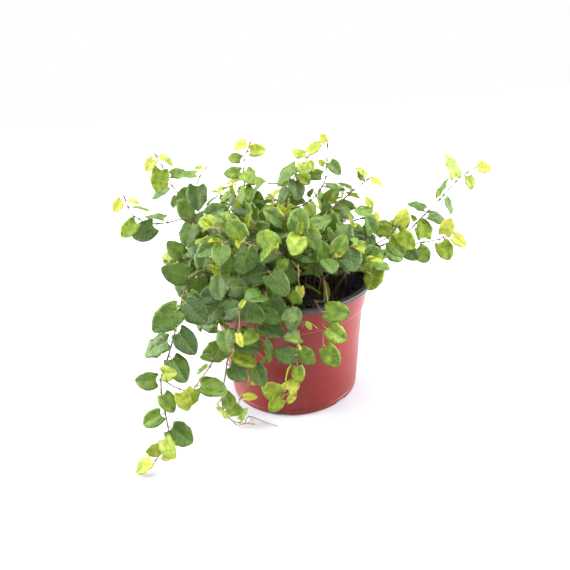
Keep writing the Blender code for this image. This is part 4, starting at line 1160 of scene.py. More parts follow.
def grow_stem(shoot: Shoot, owner: int, start: Optional[Array] = None,
              foot_radius: float = RULE.stem_foot_radius, forks: Sequence[float] = (),
              longest: float = RULE.longest_segment) -> Stem:
    """Reads a shoot's route at its forks and at enough points between them, and sets its leaf nodes.

    Args:
        shoot: the shoot's plan.
        owner: the number of the main stem.
        start: where a side shoot leaves its stem; None plants the stem.
        foot_radius: the radius where it starts.
        forks: distances along it where side shoots leave.
        longest: the longest stretch between two of its points.

    Returns:
        The stem.
    """
    via = planted(shoot.via) if start is None else (tuple(start),) + tuple(shoot.via)
    curve = smooth_route(via)
    reach = lengths_along(curve)[-1]
    upright = (POT.hole_depth + RULE.upright,) if start is None else ()
    stations = [0.0]
    for knot in sorted((*upright, *forks, reach)):
        steps = max(1, math.ceil((knot - stations[-1]) / longest))
        stations.extend(np.linspace(stations[-1], knot, steps + 1)[1:].tolist())
    stations = np.array(stations)
    spine = read_at(curve, stations)
    ahead = read_at(curve, np.minimum(stations + 1.0, reach))
    behind = read_at(curve, np.maximum(stations - 1.0, 0.0))
    along = (ahead - behind) / np.linalg.norm(ahead - behind, axis=1)[:, None]
    radii = foot_radius + (min(RULE.stem_tip_radius, foot_radius) - foot_radius) * stations / reach
    bends = lengths_along(spine)
    first, last = shoot.span
    row = first + ((last or bends[-1]) - first) * np.linspace(0, 1, len(shoot.row)) ** RULE.crowding
    nodes = np.concatenate([row, [leaf[0] * bends[-1] / reach for leaf in shoot.leaves]])
    segments = np.clip(np.searchsorted(bends, nodes, side="right") - 1, 0, len(bends) - 2)
    nodes = np.clip(nodes, bends[segments] + RULE.node_to_bend, bends[segments + 1] - RULE.node_to_bend)
    node_along = np.diff(spine, axis=0)[segments] / np.diff(bends)[segments, None]
    return Stem(shoot, owner, spine, along, radii, read_at(spine, nodes), nodes, node_along)


@dataclass
class Leaf:
    """A leaf: where its petiole leaves the stem, where the blade starts, its axes, length and age.

    `tone` is 0 for a mature leaf and 1 for a new one. `folded` closes the blade along its midrib.
    """

    owner: int
    root: Array
    hinge: Array
    along: Array
    up: Array
    length: float
    tone: float = 0.0
    folded: float = 0.0

    def blade_samples(self) -> Array:
        """Spreads points over the blade, which folds up from its midrib and arches down to its tip.

        Returns:
            The points, 9 along the blade by 7 across it.
        """
        t, s = np.meshgrid(np.linspace(0, 1, 9), np.linspace(-1, 1, 7), indexing="ij")
        width = s * np.interp(t, RULE.outline_at, RULE.outline_width)
        across = np.cross(self.up, self.along)
        points = (self.along * t[..., None] + across * width[..., None]
                  + self.up * (RULE.fold * abs(width) - RULE.arch * t * t)[..., None])
        return (self.hinge + self.length * points).reshape(-1, 3)

    def petiole_samples(self) -> Array:
        """Gives three points along the petiole, past the stem."""
        return self.root + np.linspace(0.4, 0.95, 3)[:, None] * (self.hinge - self.root)

    def is_free(self, crowd: Crowd, gap: float, own_gap: float) -> bool:
        """Tests that the leaf is clear of the pot, the floor and what has grown before it.

        Args:
            crowd: what has grown so far.
            gap: the least distance to other stems and their leaves.
            own_gap: the least distance to its own stem and that stem's leaves.

        Returns:
            True where it is clear.
        """
        blade = self.blade_samples()
        return (clear_of_pot(blade, RULE.pot_gap) and crowd.is_clear(blade, gap, self.owner)
                and crowd.is_clear(blade, own_gap)
                and crowd.is_clear(self.petiole_samples(), min(gap, RULE.petiole_gap), self.owner))


def facing(look: Optional[Pair], point: Array, along: Array) -> Array:
    """Gives the way that a leaf's upper face turns: outwards on a hanging stem, more upwards on a rising one.

    Args:
        look: the azimuth and elevation that the shoot sets, if it does.
        point: where the leaf grows.
        along: the stem's direction there.

    Returns:
        The direction.
    """
    if look:
        return aim(*look)
    outwards, frontwards, upwards, more_upwards = RULE.face_way
    outward = unit([point[0], point[1], 0.0])
    rising = min(1.0, max(0.0, (along[2] + RULE.hanging) / RULE.hanging_to_rising))
    return unit(outwards * outward + frontwards * aim(-90, 0) + (upwards + more_upwards * rising) * UP)


def upright_on(heading: Array, face: Array) -> Array:
    """Turns a face's direction square to a heading."""
    return unit(face - heading * (face @ heading))


def hides_patch(points: Array) -> bool:
    """Tests whether any point hides the open patch of compost from the front.

    Args:
        points: the points to place.

    Returns:
        True where one does.
    """
    behind = points[:, 1] + (points[:, 2] - POT.soil_top) / RULE.sight_slope
    beside = (points[:, 0] > RULE.patch_x[0]) & (points[:, 0] < RULE.patch_x[1])
    return bool((beside & (behind > RULE.patch_y[0]) & (behind < RULE.patch_y[1])).any())


def row_leaf(stem: Stem, key: tuple[int, ...], length: float, attempt: int) -> Leaf:
    """Gives the leaf that a row's node tries: turned a little more at each attempt, and at last smaller.

    Args:
        stem: the stem that bears it.
        key: the stem's number and the node's, which seed the draws.
        length: the blade's length.
        attempt: the number of the try.

    Returns:
        The leaf.
    """
    base, along = stem.nodes[key[1]], stem.node_along[key[1]]
    look = stem.shoot.look
    spread = RULE.named_spread if look else RULE.filler_spread
    draw = np.random.default_rng([RULE.seed, *key, attempt]).uniform(-1, 1, 6)
    tilted = unit(facing(look, base, along) + draw[:3] * (spread + RULE.more_spread * attempt))
    flip = -1 if attempt % RULE.flip_every == RULE.flip_every - 1 else 1
    sideways = unit(np.cross(tilted, along)) * (stem.shoot.side * (-1) ** key[1] * flip)
    stalk = (RULE.petiole_short + RULE.petiole_share * length) * (1 + RULE.stalk_varies * draw[3])
    aside, ahead, facewards = RULE.petiole_way
    hinge = base + unit(aside * sideways + ahead * along + facewards * tilted) * stalk
    aside, ahead, upwards = RULE.blade_way
    heading = aside * sideways + (ahead + RULE.stalk_varies * draw[4]) * along + upwards * UP
    heading = unit(heading + draw[3:] * RULE.blade_varies)
    size = length * min(1.0, RULE.first_size - RULE.more_shrink * attempt)
    return Leaf(stem.owner, base, hinge, heading, upright_on(heading, tilted), size)


def pointing(turn: float, lean: float) -> Array:
    """Gives a direction as the picture shows it.

    Args:
        turn: its angle in the picture plane, in degrees from +X upwards.
        lean: how far it leans out of that plane, in degrees.

    Returns:
        The direction.
    """
    turn, lean = math.radians(turn), math.radians(lean)
    front = aim(-90, RULE.picture_rise)
    upward = np.cross(front, (1.0, 0.0, 0.0))
    flat = math.cos(turn) * np.array([1.0, 0.0, 0.0]) + math.sin(turn) * upward
    return math.cos(lean) * flat + math.sin(lean) * front


def single_leaf(stem: Stem, index: int, number: int, attempt: int) -> Leaf:
    """Gives a single leaf as its shoot lists it, turned by more degrees and held further off at each try.

    Args:
        stem: the stem that bears it.
        index: the stem's number.
        number: the leaf's number in its shoot's list.
        attempt: the number of the try.

    Returns:
        The leaf.
    """
    _, length, turn, lean, roll, tone = stem.shoot.leaves[number]
    base = stem.nodes[len(stem.shoot.row) + number]
    draw = np.random.default_rng([RULE.seed, 2, index, number, attempt]).uniform(-1, 1, 3) * attempt
    more_turn, more_lean, more_roll = RULE.more_turns * draw
    heading = pointing(turn + more_turn, lean + more_lean)
    stalk = (RULE.petiole_short + RULE.petiole_share * length) * (1 + RULE.more_stalk * attempt)
    rolled = math.radians(roll + more_roll)
    level = upright_on(heading, aim(-90, RULE.picture_rise))
    edge = np.cross(heading, level)
    edge *= math.copysign(1.0, edge @ (math.copysign(RULE.edge_lean, base[0]), 0.0, 1.0))
    up = math.cos(rolled) * level + math.sin(rolled) * edge
    held = unit(heading + (RULE.held_off + RULE.more_off * attempt) * up)
    return Leaf(stem.owner, base, base + held * stalk, heading, up, length, tone)


@dataclass(frozen=True)
class FillerPlan:
    """A filler stem: it rises from its foot, leans over at `top`, goes out to `reach`, and may hang there.

    `foot`, `middle` and `reach` are radii, `azimuth` is where it starts and `swirl` how far it turns, in
    degrees, and `hang` is the radius and height of a hanging end. It bears `count` leaves from `first`
    millimetres on, and side shoots at the shares `forks` of its length, which rise by `lift`.
    """

    name: str
    azimuth: float
    foot: float
    middle: float
    top: float
    reach: float
    end_height: float
    swirl: float
    count: int
    first: float
    forks: Numbers
    lift: float
    hang: Optional[Pair] = None

    def route(self, turn: float) -> Rows:
        """Gives the stem's route: points at shares of the way between its radii and of its swirl.

        Args:
            turn: degrees that all of it is turned round the pot.

        Returns:
            The route's points, the first without a height.
        """
        azimuth, swirl = self.azimuth + turn, self.swirl
        via = [at_radius(azimuth, self.foot, 0)[:2], at_radius(azimuth, self.foot + 2, RULE.filler_collar),
               at_radius(azimuth + swirl * 0.4, self.foot * 0.35 + self.middle * 0.65, self.top - 8),
               at_radius(azimuth + swirl * 0.8, self.middle * 0.45 + self.reach * 0.55, self.top),
               at_radius(azimuth + swirl, self.reach, self.end_height)]
        if self.hang:
            radius, height = self.hang
            via.append(at_radius(azimuth + swirl * 1.1, (self.reach + radius) / 2 + 3,
                                 (self.end_height + height) / 2))
            via.append(at_radius(azimuth + swirl * 1.2, radius, height))
        return tuple(tuple(point) for point in via)


def filler_plans() -> list[FillerPlan]:
    """Lists the filler stems of the crown, of the bush round it and over the rim.

    Returns:
        Their plans, in the order in which they grow.
    """
    plans = []
    for k in range(RULE.crown_count):
        azimuth = 60 + RULE.golden_angle * k
        higher = RULE.dome_slope * -aim(azimuth, 0)[0]
        plans.append(FillerPlan(
            f"crown_{k + 1}", azimuth, foot=6 + 3 * (k % 3), middle=14 + 5 * (k % 3),
            top=116 + 4 * (k % 4) + higher, reach=24 + 7 * (k % 3), end_height=130 + 4 * (k % 3) + higher,
            swirl=24 * (-1) ** k, count=8, first=28, forks=(0.45, 0.65), lift=0.15))
    for k in range(RULE.bush_count):
        azimuth = 15 + RULE.golden_angle * k
        higher = RULE.dome_slope * -aim(azimuth, 0)[0]
        plans.append(FillerPlan(
            f"bush_{k + 1:02d}", azimuth, foot=17 + 4 * (k % 3), middle=36 + 3 * (k % 3),
            top=107 + 5 * (k % 4) + higher, reach=52 + 6 * (k % 3), end_height=110 + 6 * (k % 4) + higher,
            swirl=18 * (-1) ** k, count=8, first=26, forks=(0.5, 0.7), lift=0.15))
    for k, (azimuth, hang) in enumerate(zip(RULE.rim_azimuths, RULE.rim_ends)):
        plans.append(FillerPlan(
            f"rim_{k + 1:02d}", azimuth, foot=34 + 3 * (k % 2), middle=50, top=104,
            reach=min(70, hang[0] - 8), end_height=97, swirl=8 * (-1) ** k, count=9, first=26, forks=(0.5,),
            lift=-0.8, hang=hang))
    return plans


def blade_lengths(count: int, draw: Draws) -> Numbers:
    """Gives the blade lengths of a filler's row, which shrink towards the tip.

    Args:
        count: how many leaves.
        draw: the stem's own draws.

    Returns:
        The lengths, to a tenth of a millimetre.
    """
    lengths = RULE.filler_blade - RULE.filler_shrink * np.linspace(0, 1, count) ** 3
    varied = lengths * (1 - RULE.filler_varies + 2 * RULE.filler_varies * draw.random(count))
    return tuple(varied.round(1).tolist())


def fork_shoot(stem: Stem, place: int, number: int, lift: float, crowd: Crowd,
               draw: Draws) -> Optional[Stem]:
    """Finds a clear side shoot of a filler stem: aside and outwards from its fork, then up or down.

    Args:
        stem: the stem that forks.
        place: the number of the spine's point where it does.
        number: 0 for the first fork, 1 for the second.
        lift: how much the shoot's second half rises.
        crowd: what has grown so far.
        draw: the stem's own draws.

    Returns:
        The side shoot, or None where there is no room.
    """
    start, along = stem.spine[place], stem.along[place]
    outward = unit([start[0], start[1], 0.01])
    aside = np.array([-outward[1], outward[0], 0.0])
    with_stem, sideways, outwards, upwards = RULE.fork_way
    for attempt in range(RULE.tries):
        turn = (-1) ** (number + stem.owner + attempt)
        first = unit(with_stem * along + aside * turn * (sideways + RULE.more_aside * attempt)
                     + outwards * outward + (upwards - RULE.more_sunk * attempt) * UP)
        length = RULE.fork_length + RULE.fork_varies * ((stem.owner + number) % 3) - attempt
        middle = start + first * length / 2
        end = middle + unit(first + RULE.fork_outward * outward + lift * UP) * length / 2
        row = blade_lengths(RULE.fork_leaves, draw)
        shoot = Shoot(stem.shoot.stem, (tuple(middle), tuple(end)), row, (RULE.fork_first, None),
                      1 - 2 * (number % 2))
        side = grow_stem(shoot, stem.owner, start, RULE.shoot_foot_radius)
        beyond = side.samples()[3:]
        if crowd.is_clear(beyond, RULE.stem_gap, stem.owner) and clear_of_pot(beyond, RULE.stem_gap):
            return side
    return None


@dataclass(frozen=True)
class AgeRule:
    """How young the leaves of the rows look, from 0 for mature to 1 for new.

    `fresh` says it for the outer leaves of some stems, and `plain` for those of the others. `tip` fades over
    `tip_leaves` leaves from a filler's tip, `odd` is for a few leaves anywhere and `varies` for all. Their
    sum is multiplied by `smallest`, less `larger` for each millimetre of the blade.
    """

    fresh: dict[str, float] = field(default_factory=lambda: {
        "trailer_front": 0.3, "trailer_front_left": 0.2, "cluster_right": 0.25, "arch_right": 0.2,
        "trailer_middle": 0.2, "apron_front": 0.35, "apron_middle": 0.25, "apron_left": 0.2,
        "shoot_top": 0.25, "shoot_middle": 0.2, "shoot_right": 0.25, "spray_upper_left": 0.15})
    plain: float = 0.05
    tip: float = 0.2
    tip_leaves: float = 1.2
    odd: float = 0.7
    varies: float = 0.25
    smallest: float = 1.25
    larger: float = 0.045

    def tone(self, stem: Stem, index: int, number: int) -> float:
        """Gives the age of a row's leaf: newer towards the shoot's tip and where small.

        Args:
            stem: the stem that bears it.
            index: the stem's number.
            number: the node's number in the row.

        Returns:
            The age.
        """
        last = len(stem.shoot.row) - 1
        chance = np.random.default_rng([RULE.seed, 3, index, number]).random(2)
        tip = 0.0 if stem.shoot.look else self.tip * math.exp(-(last - number) / self.tip_leaves)
        outer = self.fresh.get(stem.shoot.stem, self.plain) * (number / max(last, 1)) ** 1.3
        anywhere = self.odd * chance[0] ** 6
        small = self.smallest - self.larger * stem.shoot.row[number]
        return float(np.clip(small * (tip + outer + anywhere + self.varies * chance[1]), 0, 1))


@dataclass(frozen=True)
class TipRule:
    """The half-open leaves at a shoot's tip: the length of each blade, and how far past the tip it stands.

    `petiole_ahead` is a share of the petiole's way aside, and `blade_aside` of the blade's way ahead.
    """

    blades: tuple[Pair, ...] = ((7.5, 0.0), (5.0, 2.0))
    petiole: float = 1.8
    petiole_ahead: float = 1.2
    blade_aside: float = 0.75
    face_varies: float = 0.5
    blade_varies: float = 0.2
    tone: float = 0.9
    tone_varies: float = 0.35
    folded: float = 0.55
    more_folded: float = 0.3
    pot_gap: float = 1.0
    gap: float = 0.8

    def leaf(self, stem: Stem, number: int, draw: Array) -> Leaf:
        """Gives one of the leaves.

        Args:
            stem: the shoot.
            number: 0 for the first, 1 for the second.
            draw: the leaf's own draws.

        Returns:
            The leaf.
        """
        length, past = self.blades[number]
        tip, along = stem.spine[-1], stem.along[-1]
        tilted = unit(facing(stem.shoot.look, tip, along) + draw * self.face_varies)
        sideways = unit(np.cross(tilted, along)) * stem.shoot.side * (-1) ** (number + len(stem.shoot.row))
        root = tip + along * past
        hinge = root + unit(sideways + self.petiole_ahead * along) * self.petiole
        heading = unit(self.blade_aside * sideways + along + self.blade_varies * draw)
        tone = self.tone - self.tone_varies * abs(draw[0])
        folded = self.folded + self.more_folded * number
        return Leaf(stem.owner, root, hinge, heading, upright_on(heading, tilted), length, tone, folded)


@dataclass
class Garden:
    """Everything that has grown: the stems, the leaves, and the nodes that found no room for theirs.

    A node without a leaf tries blades of the `small_shares` of its length, with smaller gaps than the others.
    """

    ages: AgeRule = field(default_factory=AgeRule)
    tips: TipRule = TipRule()
    runner_radius: float = 0.5
    runner_step: float = 2.5
    small_shares: Numbers = (0.72, 0.5)
    small_gap: float = 1.5
    small_own_gap: float = 1.1
    small_tone: float = 0.15
    stems: list[Stem] = field(default_factory=list)
    leaves: list[Leaf] = field(default_factory=list)
    missed: list[tuple[int, int, float]] = field(default_factory=list)
    mains: dict[str, Stem] = field(default_factory=dict)
    crowd: Crowd = field(default_factory=Crowd)

    def grow(self) -> None:
        """Grows the stems, the single leaves and the rows, and then what is too small for the solids."""
        self.grow_named()
        for plan in filler_plans():
            self.grow_filler(plan)
        for index, stem in enumerate(self.stems):
            self.grow_single_leaves(index, stem)
        for index, stem in enumerate(self.stems):
            self.grow_row(index, stem)
        LOG.info("%d stems, %d leaves as in the solids", len(self.stems), len(self.leaves))
        self.grow_runners()
        self.fill_missed_nodes()
        self.grow_tips()
        LOG.info("%d leaves with the small ones", len(self.leaves))

    def add_main(self, stem: Stem) -> None:
        """Keeps a main stem and its room.

        Args:
            stem: the stem.
        """
        self.mains[stem.shoot.stem] = stem
        self.stems.append(stem)
        self.crowd.add(stem.samples(), stem.owner)

    def add_side(self, stem: Stem) -> None:
        """Keeps a side shoot and its room past the stem that it leaves."""
        self.stems.append(stem)
        self.crowd.add(stem.samples()[2:], stem.owner)

    def grow_named(self) -> None:
        """Grows the named stems and their side shoots."""
        for shoot in NAMED_SHOOTS:
            if shoot.joins is None:
                forks = tuple(float(s.joins) for s in NAMED_SHOOTS if s.stem == shoot.stem and s.joins)
                self.add_main(grow_stem(shoot, len(self.mains), forks=forks))
            else:
                main = self.mains[shoot.stem]
                start = main.spine[main.place_of(shoot.joins)]
                self.add_side(grow_stem(shoot, main.owner, start, RULE.shoot_foot_radius))

    def grow_filler(self, plan: FillerPlan) -> None:
        """Turns a filler stem a little further round the pot until it is clear, and adds its side shoots.

        Args:
            plan: the filler's plan.
        """
        owner = len(self.mains)
        draw = np.random.default_rng([RULE.seed, owner])
        row = blade_lengths(plan.count, draw)
        for attempt in range(RULE.filler_tries):
            via = plan.route((-1) ** attempt * ((attempt + 1) // 2) * RULE.filler_turn)
            shoot = Shoot(plan.name, via, row, (plan.first, None), 1 - 2 * (owner % 2))
            reach = lengths_along(smooth_route(planted(via)))[-1]
            stem = grow_stem(shoot, owner, forks=tuple(reach * share for share in plan.forks))
            if self.crowd.is_clear(stem.samples(), RULE.stem_gap):
                break
        else:
            return
        self.add_main(stem)
        for number, share in enumerate(plan.forks):
            side = fork_shoot(stem, stem.place_of(reach * share), number, plan.lift, self.crowd, draw)
            if side:
                self.add_side(side)

    def grow_single_leaves(self, index: int, stem: Stem) -> None:
        """Grows the single leaves that a stem's shoot lists, where they find room.

        Args:
            index: the stem's number.
            stem: the stem.
        """
        for number in range(len(stem.shoot.leaves)):
            self.keep_first(single_leaf(stem, index, number, attempt) for attempt in range(RULE.single_tries))

    def grow_row(self, index: int, stem: Stem) -> None:
        """Grows a stem's row of leaves, and notes the nodes where they find no room.

        Args:
            index: the stem's number.
            stem: the stem.
        """
        for number, length in enumerate(stem.shoot.row):
            trials = (row_leaf(stem, (index, number), length, attempt) for attempt in range(RULE.tries))
            leaf = self.keep_first(leaf for leaf in trials if not hides_patch(leaf.blade_samples()))
            if leaf:
                leaf.tone = self.ages.tone(stem, index, number)
            else:
                self.missed.append((index, number, length))

    def grow_runners(self) -> None:
        """Grows the new thin shoots and their leaves."""
        for shoot in RUNNERS:
            main = self.mains[shoot.stem]
            nearest = read_at(main.spine, np.arange(0, lengths_along(main.spine)[-1], 0.5))
            start = nearest[np.linalg.norm(nearest - shoot.via[0], axis=1).argmin()]
            stem = grow_stem(shoot, main.owner, start, self.runner_radius, longest=self.runner_step)
            self.stems.append(stem)
            for number in range(len(shoot.leaves)):
                self.keep(single_leaf(stem, len(self.stems), number, 0))

    def keep(self, leaf: Leaf) -> None:
        """Keeps a leaf and its room.

        Args:
            leaf: the leaf.
        """
        self.leaves.append(leaf)
        self.crowd.add(leaf.blade_samples(), leaf.owner)
        self.crowd.add(leaf.petiole_samples(), leaf.owner)

    def keep_first(self, trials: Iterable[Leaf], gap: float = RULE.leaf_gap,
                   own_gap: float = RULE.own_gap) -> Optional[Leaf]:
        """Keeps the first of some leaves that finds room.

        Args:
            trials: the leaves, in the order in which they are tried.
            gap: the least distance to other stems and their leaves.
            own_gap: the least distance to its own stem and that stem's leaves.

        Returns:
            The leaf, or None where none does.
        """
        for leaf in trials:
            if leaf.is_free(self.crowd, gap, own_gap):
                self.keep(leaf)
                return leaf
        return None

    def fill_missed_nodes(self) -> None:
        """Tries a smaller leaf at each node without one."""
        for index, number, length in self.missed:
            stem = self.stems[index]
            trials = (row_leaf(stem, (index, number, 1), length * share, attempt)
                      for share in self.small_shares for attempt in range(RULE.tries))
            beside_patch = (leaf for leaf in trials if not hides_patch(leaf.blade_samples()))
            leaf = self.keep_first(beside_patch, self.small_gap, self.small_own_gap)
            if leaf:
                leaf.tone = min(1.0, self.ages.tone(stem, index, number) + self.small_tone)

    def grow_tips(self) -> None:
        """Sets half-open leaves at the tip of each shoot that has a row up to it, where they find room."""
        for index, stem in enumerate(self.stems):
            if stem.shoot.leaves or not stem.shoot.row:
                continue
            draws = np.random.default_rng([RULE.seed, 5, index]).uniform(-1, 1, (len(self.tips.blades), 3))
            for number, draw in enumerate(draws):
                leaf = self.tips.leaf(stem, number, draw)
                blade = leaf.blade_samples()
                is_clear = clear_of_pot(blade, self.tips.pot_gap)
                is_apart = is_clear and self.crowd.is_clear(blade, self.tips.gap, stem.owner)
                if is_apart and not hides_patch(blade):
                    self.keep(leaf)


# Leafy stems

def gathered(leaves: Sequence[Leaf], name: str) -> Array:
    """Stacks one value of every leaf."""
    return np.array([getattr(leaf, name) for leaf in leaves])


def varied(middle: float, varies: float, draw: Array) -> Array:
    """Gives a middle value plus a draw's share of how much it varies."""
    return middle + varies * draw


@dataclass(frozen=True)
class LeafForm:
    """The fine leaf: a thin closed shell with a heart-shaped base, a folded midrib and a blunt tip.

    Across its width v runs from -1 to 1, and along its midrib u from 0 to 1. A pair of values is the middle
    one and how much it varies, in shares of the leaf's length. `closed` is the fold of a half-open leaf.
    """

    rows: Numbers = (
        0.0, 0.01, 0.03, 0.06, 0.11, 0.18, 0.27, 0.37, 0.48, 0.60, 0.71, 0.81, 0.90, 0.96, 1.0)
    columns: int = 11
    half_width: float = 0.87
    base_power: float = 0.38
    tip_power: float = 0.66
    lobe: float = 0.19
    lobe_at: float = 0.06
    fold: Pair = (0.17, 0.08)
    closed: float = 0.9
    crease: float = 0.02
    pillow: Pair = (0.035, 0.015)
    arch: Pair = (0.16, 0.07)
    hook: float = 0.07
    wave: Pair = (0.026, 0.018)
    bend: float = 0.035
    twist: float = 0.22
    thickness: float = 0.26
    rib: float = 0.3
    full_thickness_at: float = 12.0

    def surface(self, leaves: Sequence[Leaf], numbers: Sequence[int]) -> Surface:
        """Makes the blades.

        Args:
            leaves: the leaves.
            numbers: their numbers, which seed their differences.

        Returns:
            One surface for all of them.
        """
        draws = [np.random.default_rng([RULE.seed, 7, number]).uniform(-1, 1, 9) for number in numbers]
        draws = np.array(draws)
        across = np.linspace(-1, 1, self.columns)
        u = np.array(self.rows)[None, :, None]
        v = (np.sign(across) * abs(across) ** 1.3)[None, None, :]
        folded = gathered(leaves, "folded")[:, None, None]
        x, y, z, half = self.shape(u, v, draws.T[:-1, :, None, None], folded)
        along, up, length = (gathered(leaves, name) for name in ("along", "up", "length"))
        frames = np.stack([along, np.cross(up, along), up], axis=1)
        hinges = gathered(leaves, "hinge")[:, None, None]
        length = length[:, None, None]
        local = np.stack(np.broadcast_arrays(x, y, z), -1) * length[..., None]
        depth = self.thickness * (1 - v**4) * (1 - u**6) + self.rib * np.exp(-(v / 0.1) ** 2) * (1 - 0.85 * u)
        depth = depth * np.minimum(1, length / self.full_thickness_at)
        below = local - np.stack(np.broadcast_arrays(0.0, 0.0, depth), -1)
        upper, lower = (np.einsum("nijk,nkl->nijl", side, frames) + hinges for side in (local, below))
        points = self.joined(upper, lower)
        outline = np.broadcast_to(half * v, local.shape[:3])
        plane = np.stack([np.broadcast_to(x, outline.shape), outline + 0.5], -1)
        margin = np.broadcast_to(abs(v), outline.shape)[..., None]
        size = len(points) // len(leaves)
        top, underside = self.faces()
        faces = [repeated(part, len(leaves), size) for part in (*top, *underside)]
        marks = {"tone": np.repeat(gathered(leaves, "tone"), size),
                 "shade": np.repeat(draws[:, -1] * 0.5 + 0.5, size),
                 "margin": self.joined(margin, margin).ravel()}
        face_marks = {"under": [0.0] * len(top) + [1.0] * len(underside)}
        return Surface(points, faces, VineSlot.BLADE.value, marks, face_marks, self.joined(plane, plane))

    def shape(self, u: Array, v: Array, draws: Array, folded: Array) -> tuple[Array, Array, Array, Array]:
        """Bends the blades, in shares of their length.

        The half width is half_width u^base_power (1 - u)^tip_power, a little wavy. A point stands at
        x = u - lobe v^2, at y = half width v, and at z = fold |y| + pillow sin(pi |v|) - arch x^2 - hook u^4
        + wave v^2 sin(phase + 13 u), then turns about the midrib with u.

        Args:
            u: places along the midrib.
            v: places across it.
            draws: eight draws for each leaf.
            folded: how far each leaf is closed.

        Returns:
            X along the midrib, Y across it and Z above it, and the half width.
        """
        wide, fold, arch, hook, bend, twist, wave, phase = draws
        half = self.half_width * (1 + 0.07 * wide) * u**self.base_power * (1 - u) ** self.tip_power
        half = half * (1 - 0.25 * folded)
        half = half * (1 + 0.03 * np.sin(17 * u + 5 * phase + 1.3 * np.sign(v)) * (1 + wide))
        lobe = self.lobe * (1 + 0.3 * bend * np.sign(v)) * (u / self.lobe_at) * np.exp(1 - u / self.lobe_at)
        x = u - lobe * v**2
        aside = np.sqrt(v**2 + self.crease) - math.sqrt(self.crease)
        z = (varied(*self.fold, fold) + self.closed * folded) * half * aside
        z = z + varied(*self.pillow, twist) * np.sin(math.pi * abs(v)) * np.sin(math.pi * u) ** 0.7
        z = z - varied(*self.arch, arch) * x**2 - self.hook * (hook + 0.3) * u**4
        z = z + varied(*self.wave, wave) * v**2 * np.sin(phase * 3 + 13 * u + 1.4 * np.sign(v) * phase)
        y = half * v * (1 - 0.35 * folded) + self.bend * bend * u**2
        turn = self.twist * twist * u
        return x, y * np.cos(turn) - z * np.sin(turn), y * np.sin(turn) + z * np.cos(turn), half

    @staticmethod
    def joined(upper: Array, lower: Array) -> Array:
        """Lists each blade's values in the order of its points: both ends, the upper side, the underside.

        Args:
            upper: the values on the upper side, leaves by rows by columns by values.
            lower: the same on the underside, which shares the ends and the margin.

        Returns:
            One row for each point.
        """
        count, _, columns, width = upper.shape
        parts = [upper[:, [0, -1], columns // 2], upper[:, 1:-1].reshape(count, -1, width),
                 lower[:, 1:-1, 1:-1].reshape(count, -1, width)]
        return np.concatenate(parts, axis=1).reshape(-1, width)

    def faces(self) -> tuple[list[Array], list[Array]]:
        """Lists one blade's faces: a grid on each side, which share the margin, closed by a fan at each end.

        Returns:
            The faces of the upper side and of the underside: four-sided ones, then three-sided ones.
        """
        rows, columns = len(self.rows) - 2, self.columns
        upper = 2 + np.arange(rows * columns).reshape(rows, columns)
        inner = 2 + rows * columns + np.arange(rows * (columns - 2)).reshape(rows, columns - 2)
        sides = []
        for grid in (upper, np.hstack([upper[:, :1], inner, upper[:, -1:]])):
            base = np.stack([np.zeros(columns - 1, int), grid[0, :-1], grid[0, 1:]], -1)
            tip = np.stack([np.ones(columns - 1, int), grid[-1, 1:], grid[-1, :-1]], -1)
            sides.append([grid_faces(grid), np.vstack([base, tip])])
        return sides[0], [part[:, ::-1] for part in sides[1]]


@dataclass(frozen=True)
class PetioleForm:
    """The fine petiole: a cubic curve from the stem into the blade's base, swollen where it leaves the stem.

    It is thinner under a small blade, by `least` of its radius and up to all of it for a blade of `full_at`.
    """

    radius: float = 0.44
    taper: float = 0.14
    swelling: float = 0.12
    least: float = 0.45
    full_at: float = 17.0
    sides: int = 6
    stations: int = 8

    def surface(self, leaves: Sequence[Leaf]) -> Surface:
        """Makes the petioles.

        Args:
            leaves: the leaves.

        Returns:
            One surface for all of them.
        """
        root, hinge, along, up = (gathered(leaves, name) for name in ("root", "hinge", "along", "up"))
        length = gathered(leaves, "length")[:, None]
        reach = np.linalg.norm(hinge - root, axis=1)[:, None]
        leave = root + units(hinge - root + up * reach * 0.25) * reach * 0.4
        arrive = hinge - along * reach * 0.35
        end = hinge + along * length * 0.05 - up * 0.16
        t = np.linspace(0, 1, self.stations)[None, :, None]
        paths = ((1 - t) ** 3 * root[:, None] + 3 * (1 - t) ** 2 * t * leave[:, None]
                 + 3 * (1 - t) * t**2 * arrive[:, None] + t**3 * end[:, None])
        share = t[..., 0]
        radii = self.radius - self.taper * share + self.swelling * np.exp(-(share / 0.12) ** 2)
        radii = radii * (self.least + (1 - self.least) * length / self.full_at)
        points, faces = tubes(paths, radii, self.sides, up)
        stalk, knot = (np.repeat(np.broadcast_to(mark, radii.shape).ravel(), self.sides)
                       for mark in (0.35 + 0.65 * share, 0.7 * np.exp(-(share / 0.1) ** 2)))
        marks = {"age": np.full(len(points), 0.8), "stalk": stalk, "knot": knot}
        return Surface(points, faces, VineSlot.BARK.value, marks)


def eased(line: Array, pad: int = 5) -> Array:
    """Rounds a line's bends: each point becomes an average of its neighbours, weighed by a bell of two steps.

    Args:
        line: the points.
        pad: how many points past each end are made up, by turning the line about its end.

    Returns:
        As many points; a line of `pad` points or fewer stays as it is.
    """
    if len(line) <= pad:
        return line
    before = 2 * line[:1] - line[1:pad + 1][::-1]
    after = 2 * line[-1:] - line[-pad - 1:-1][::-1]
    padded = np.vstack([before, line, after])
    bell = np.exp(-0.5 * (np.arange(-pad, pad + 1) / 2.0) ** 2)
    return np.stack([np.convolve(padded[:, axis], bell / bell.sum(), "valid") for axis in range(3)], -1)


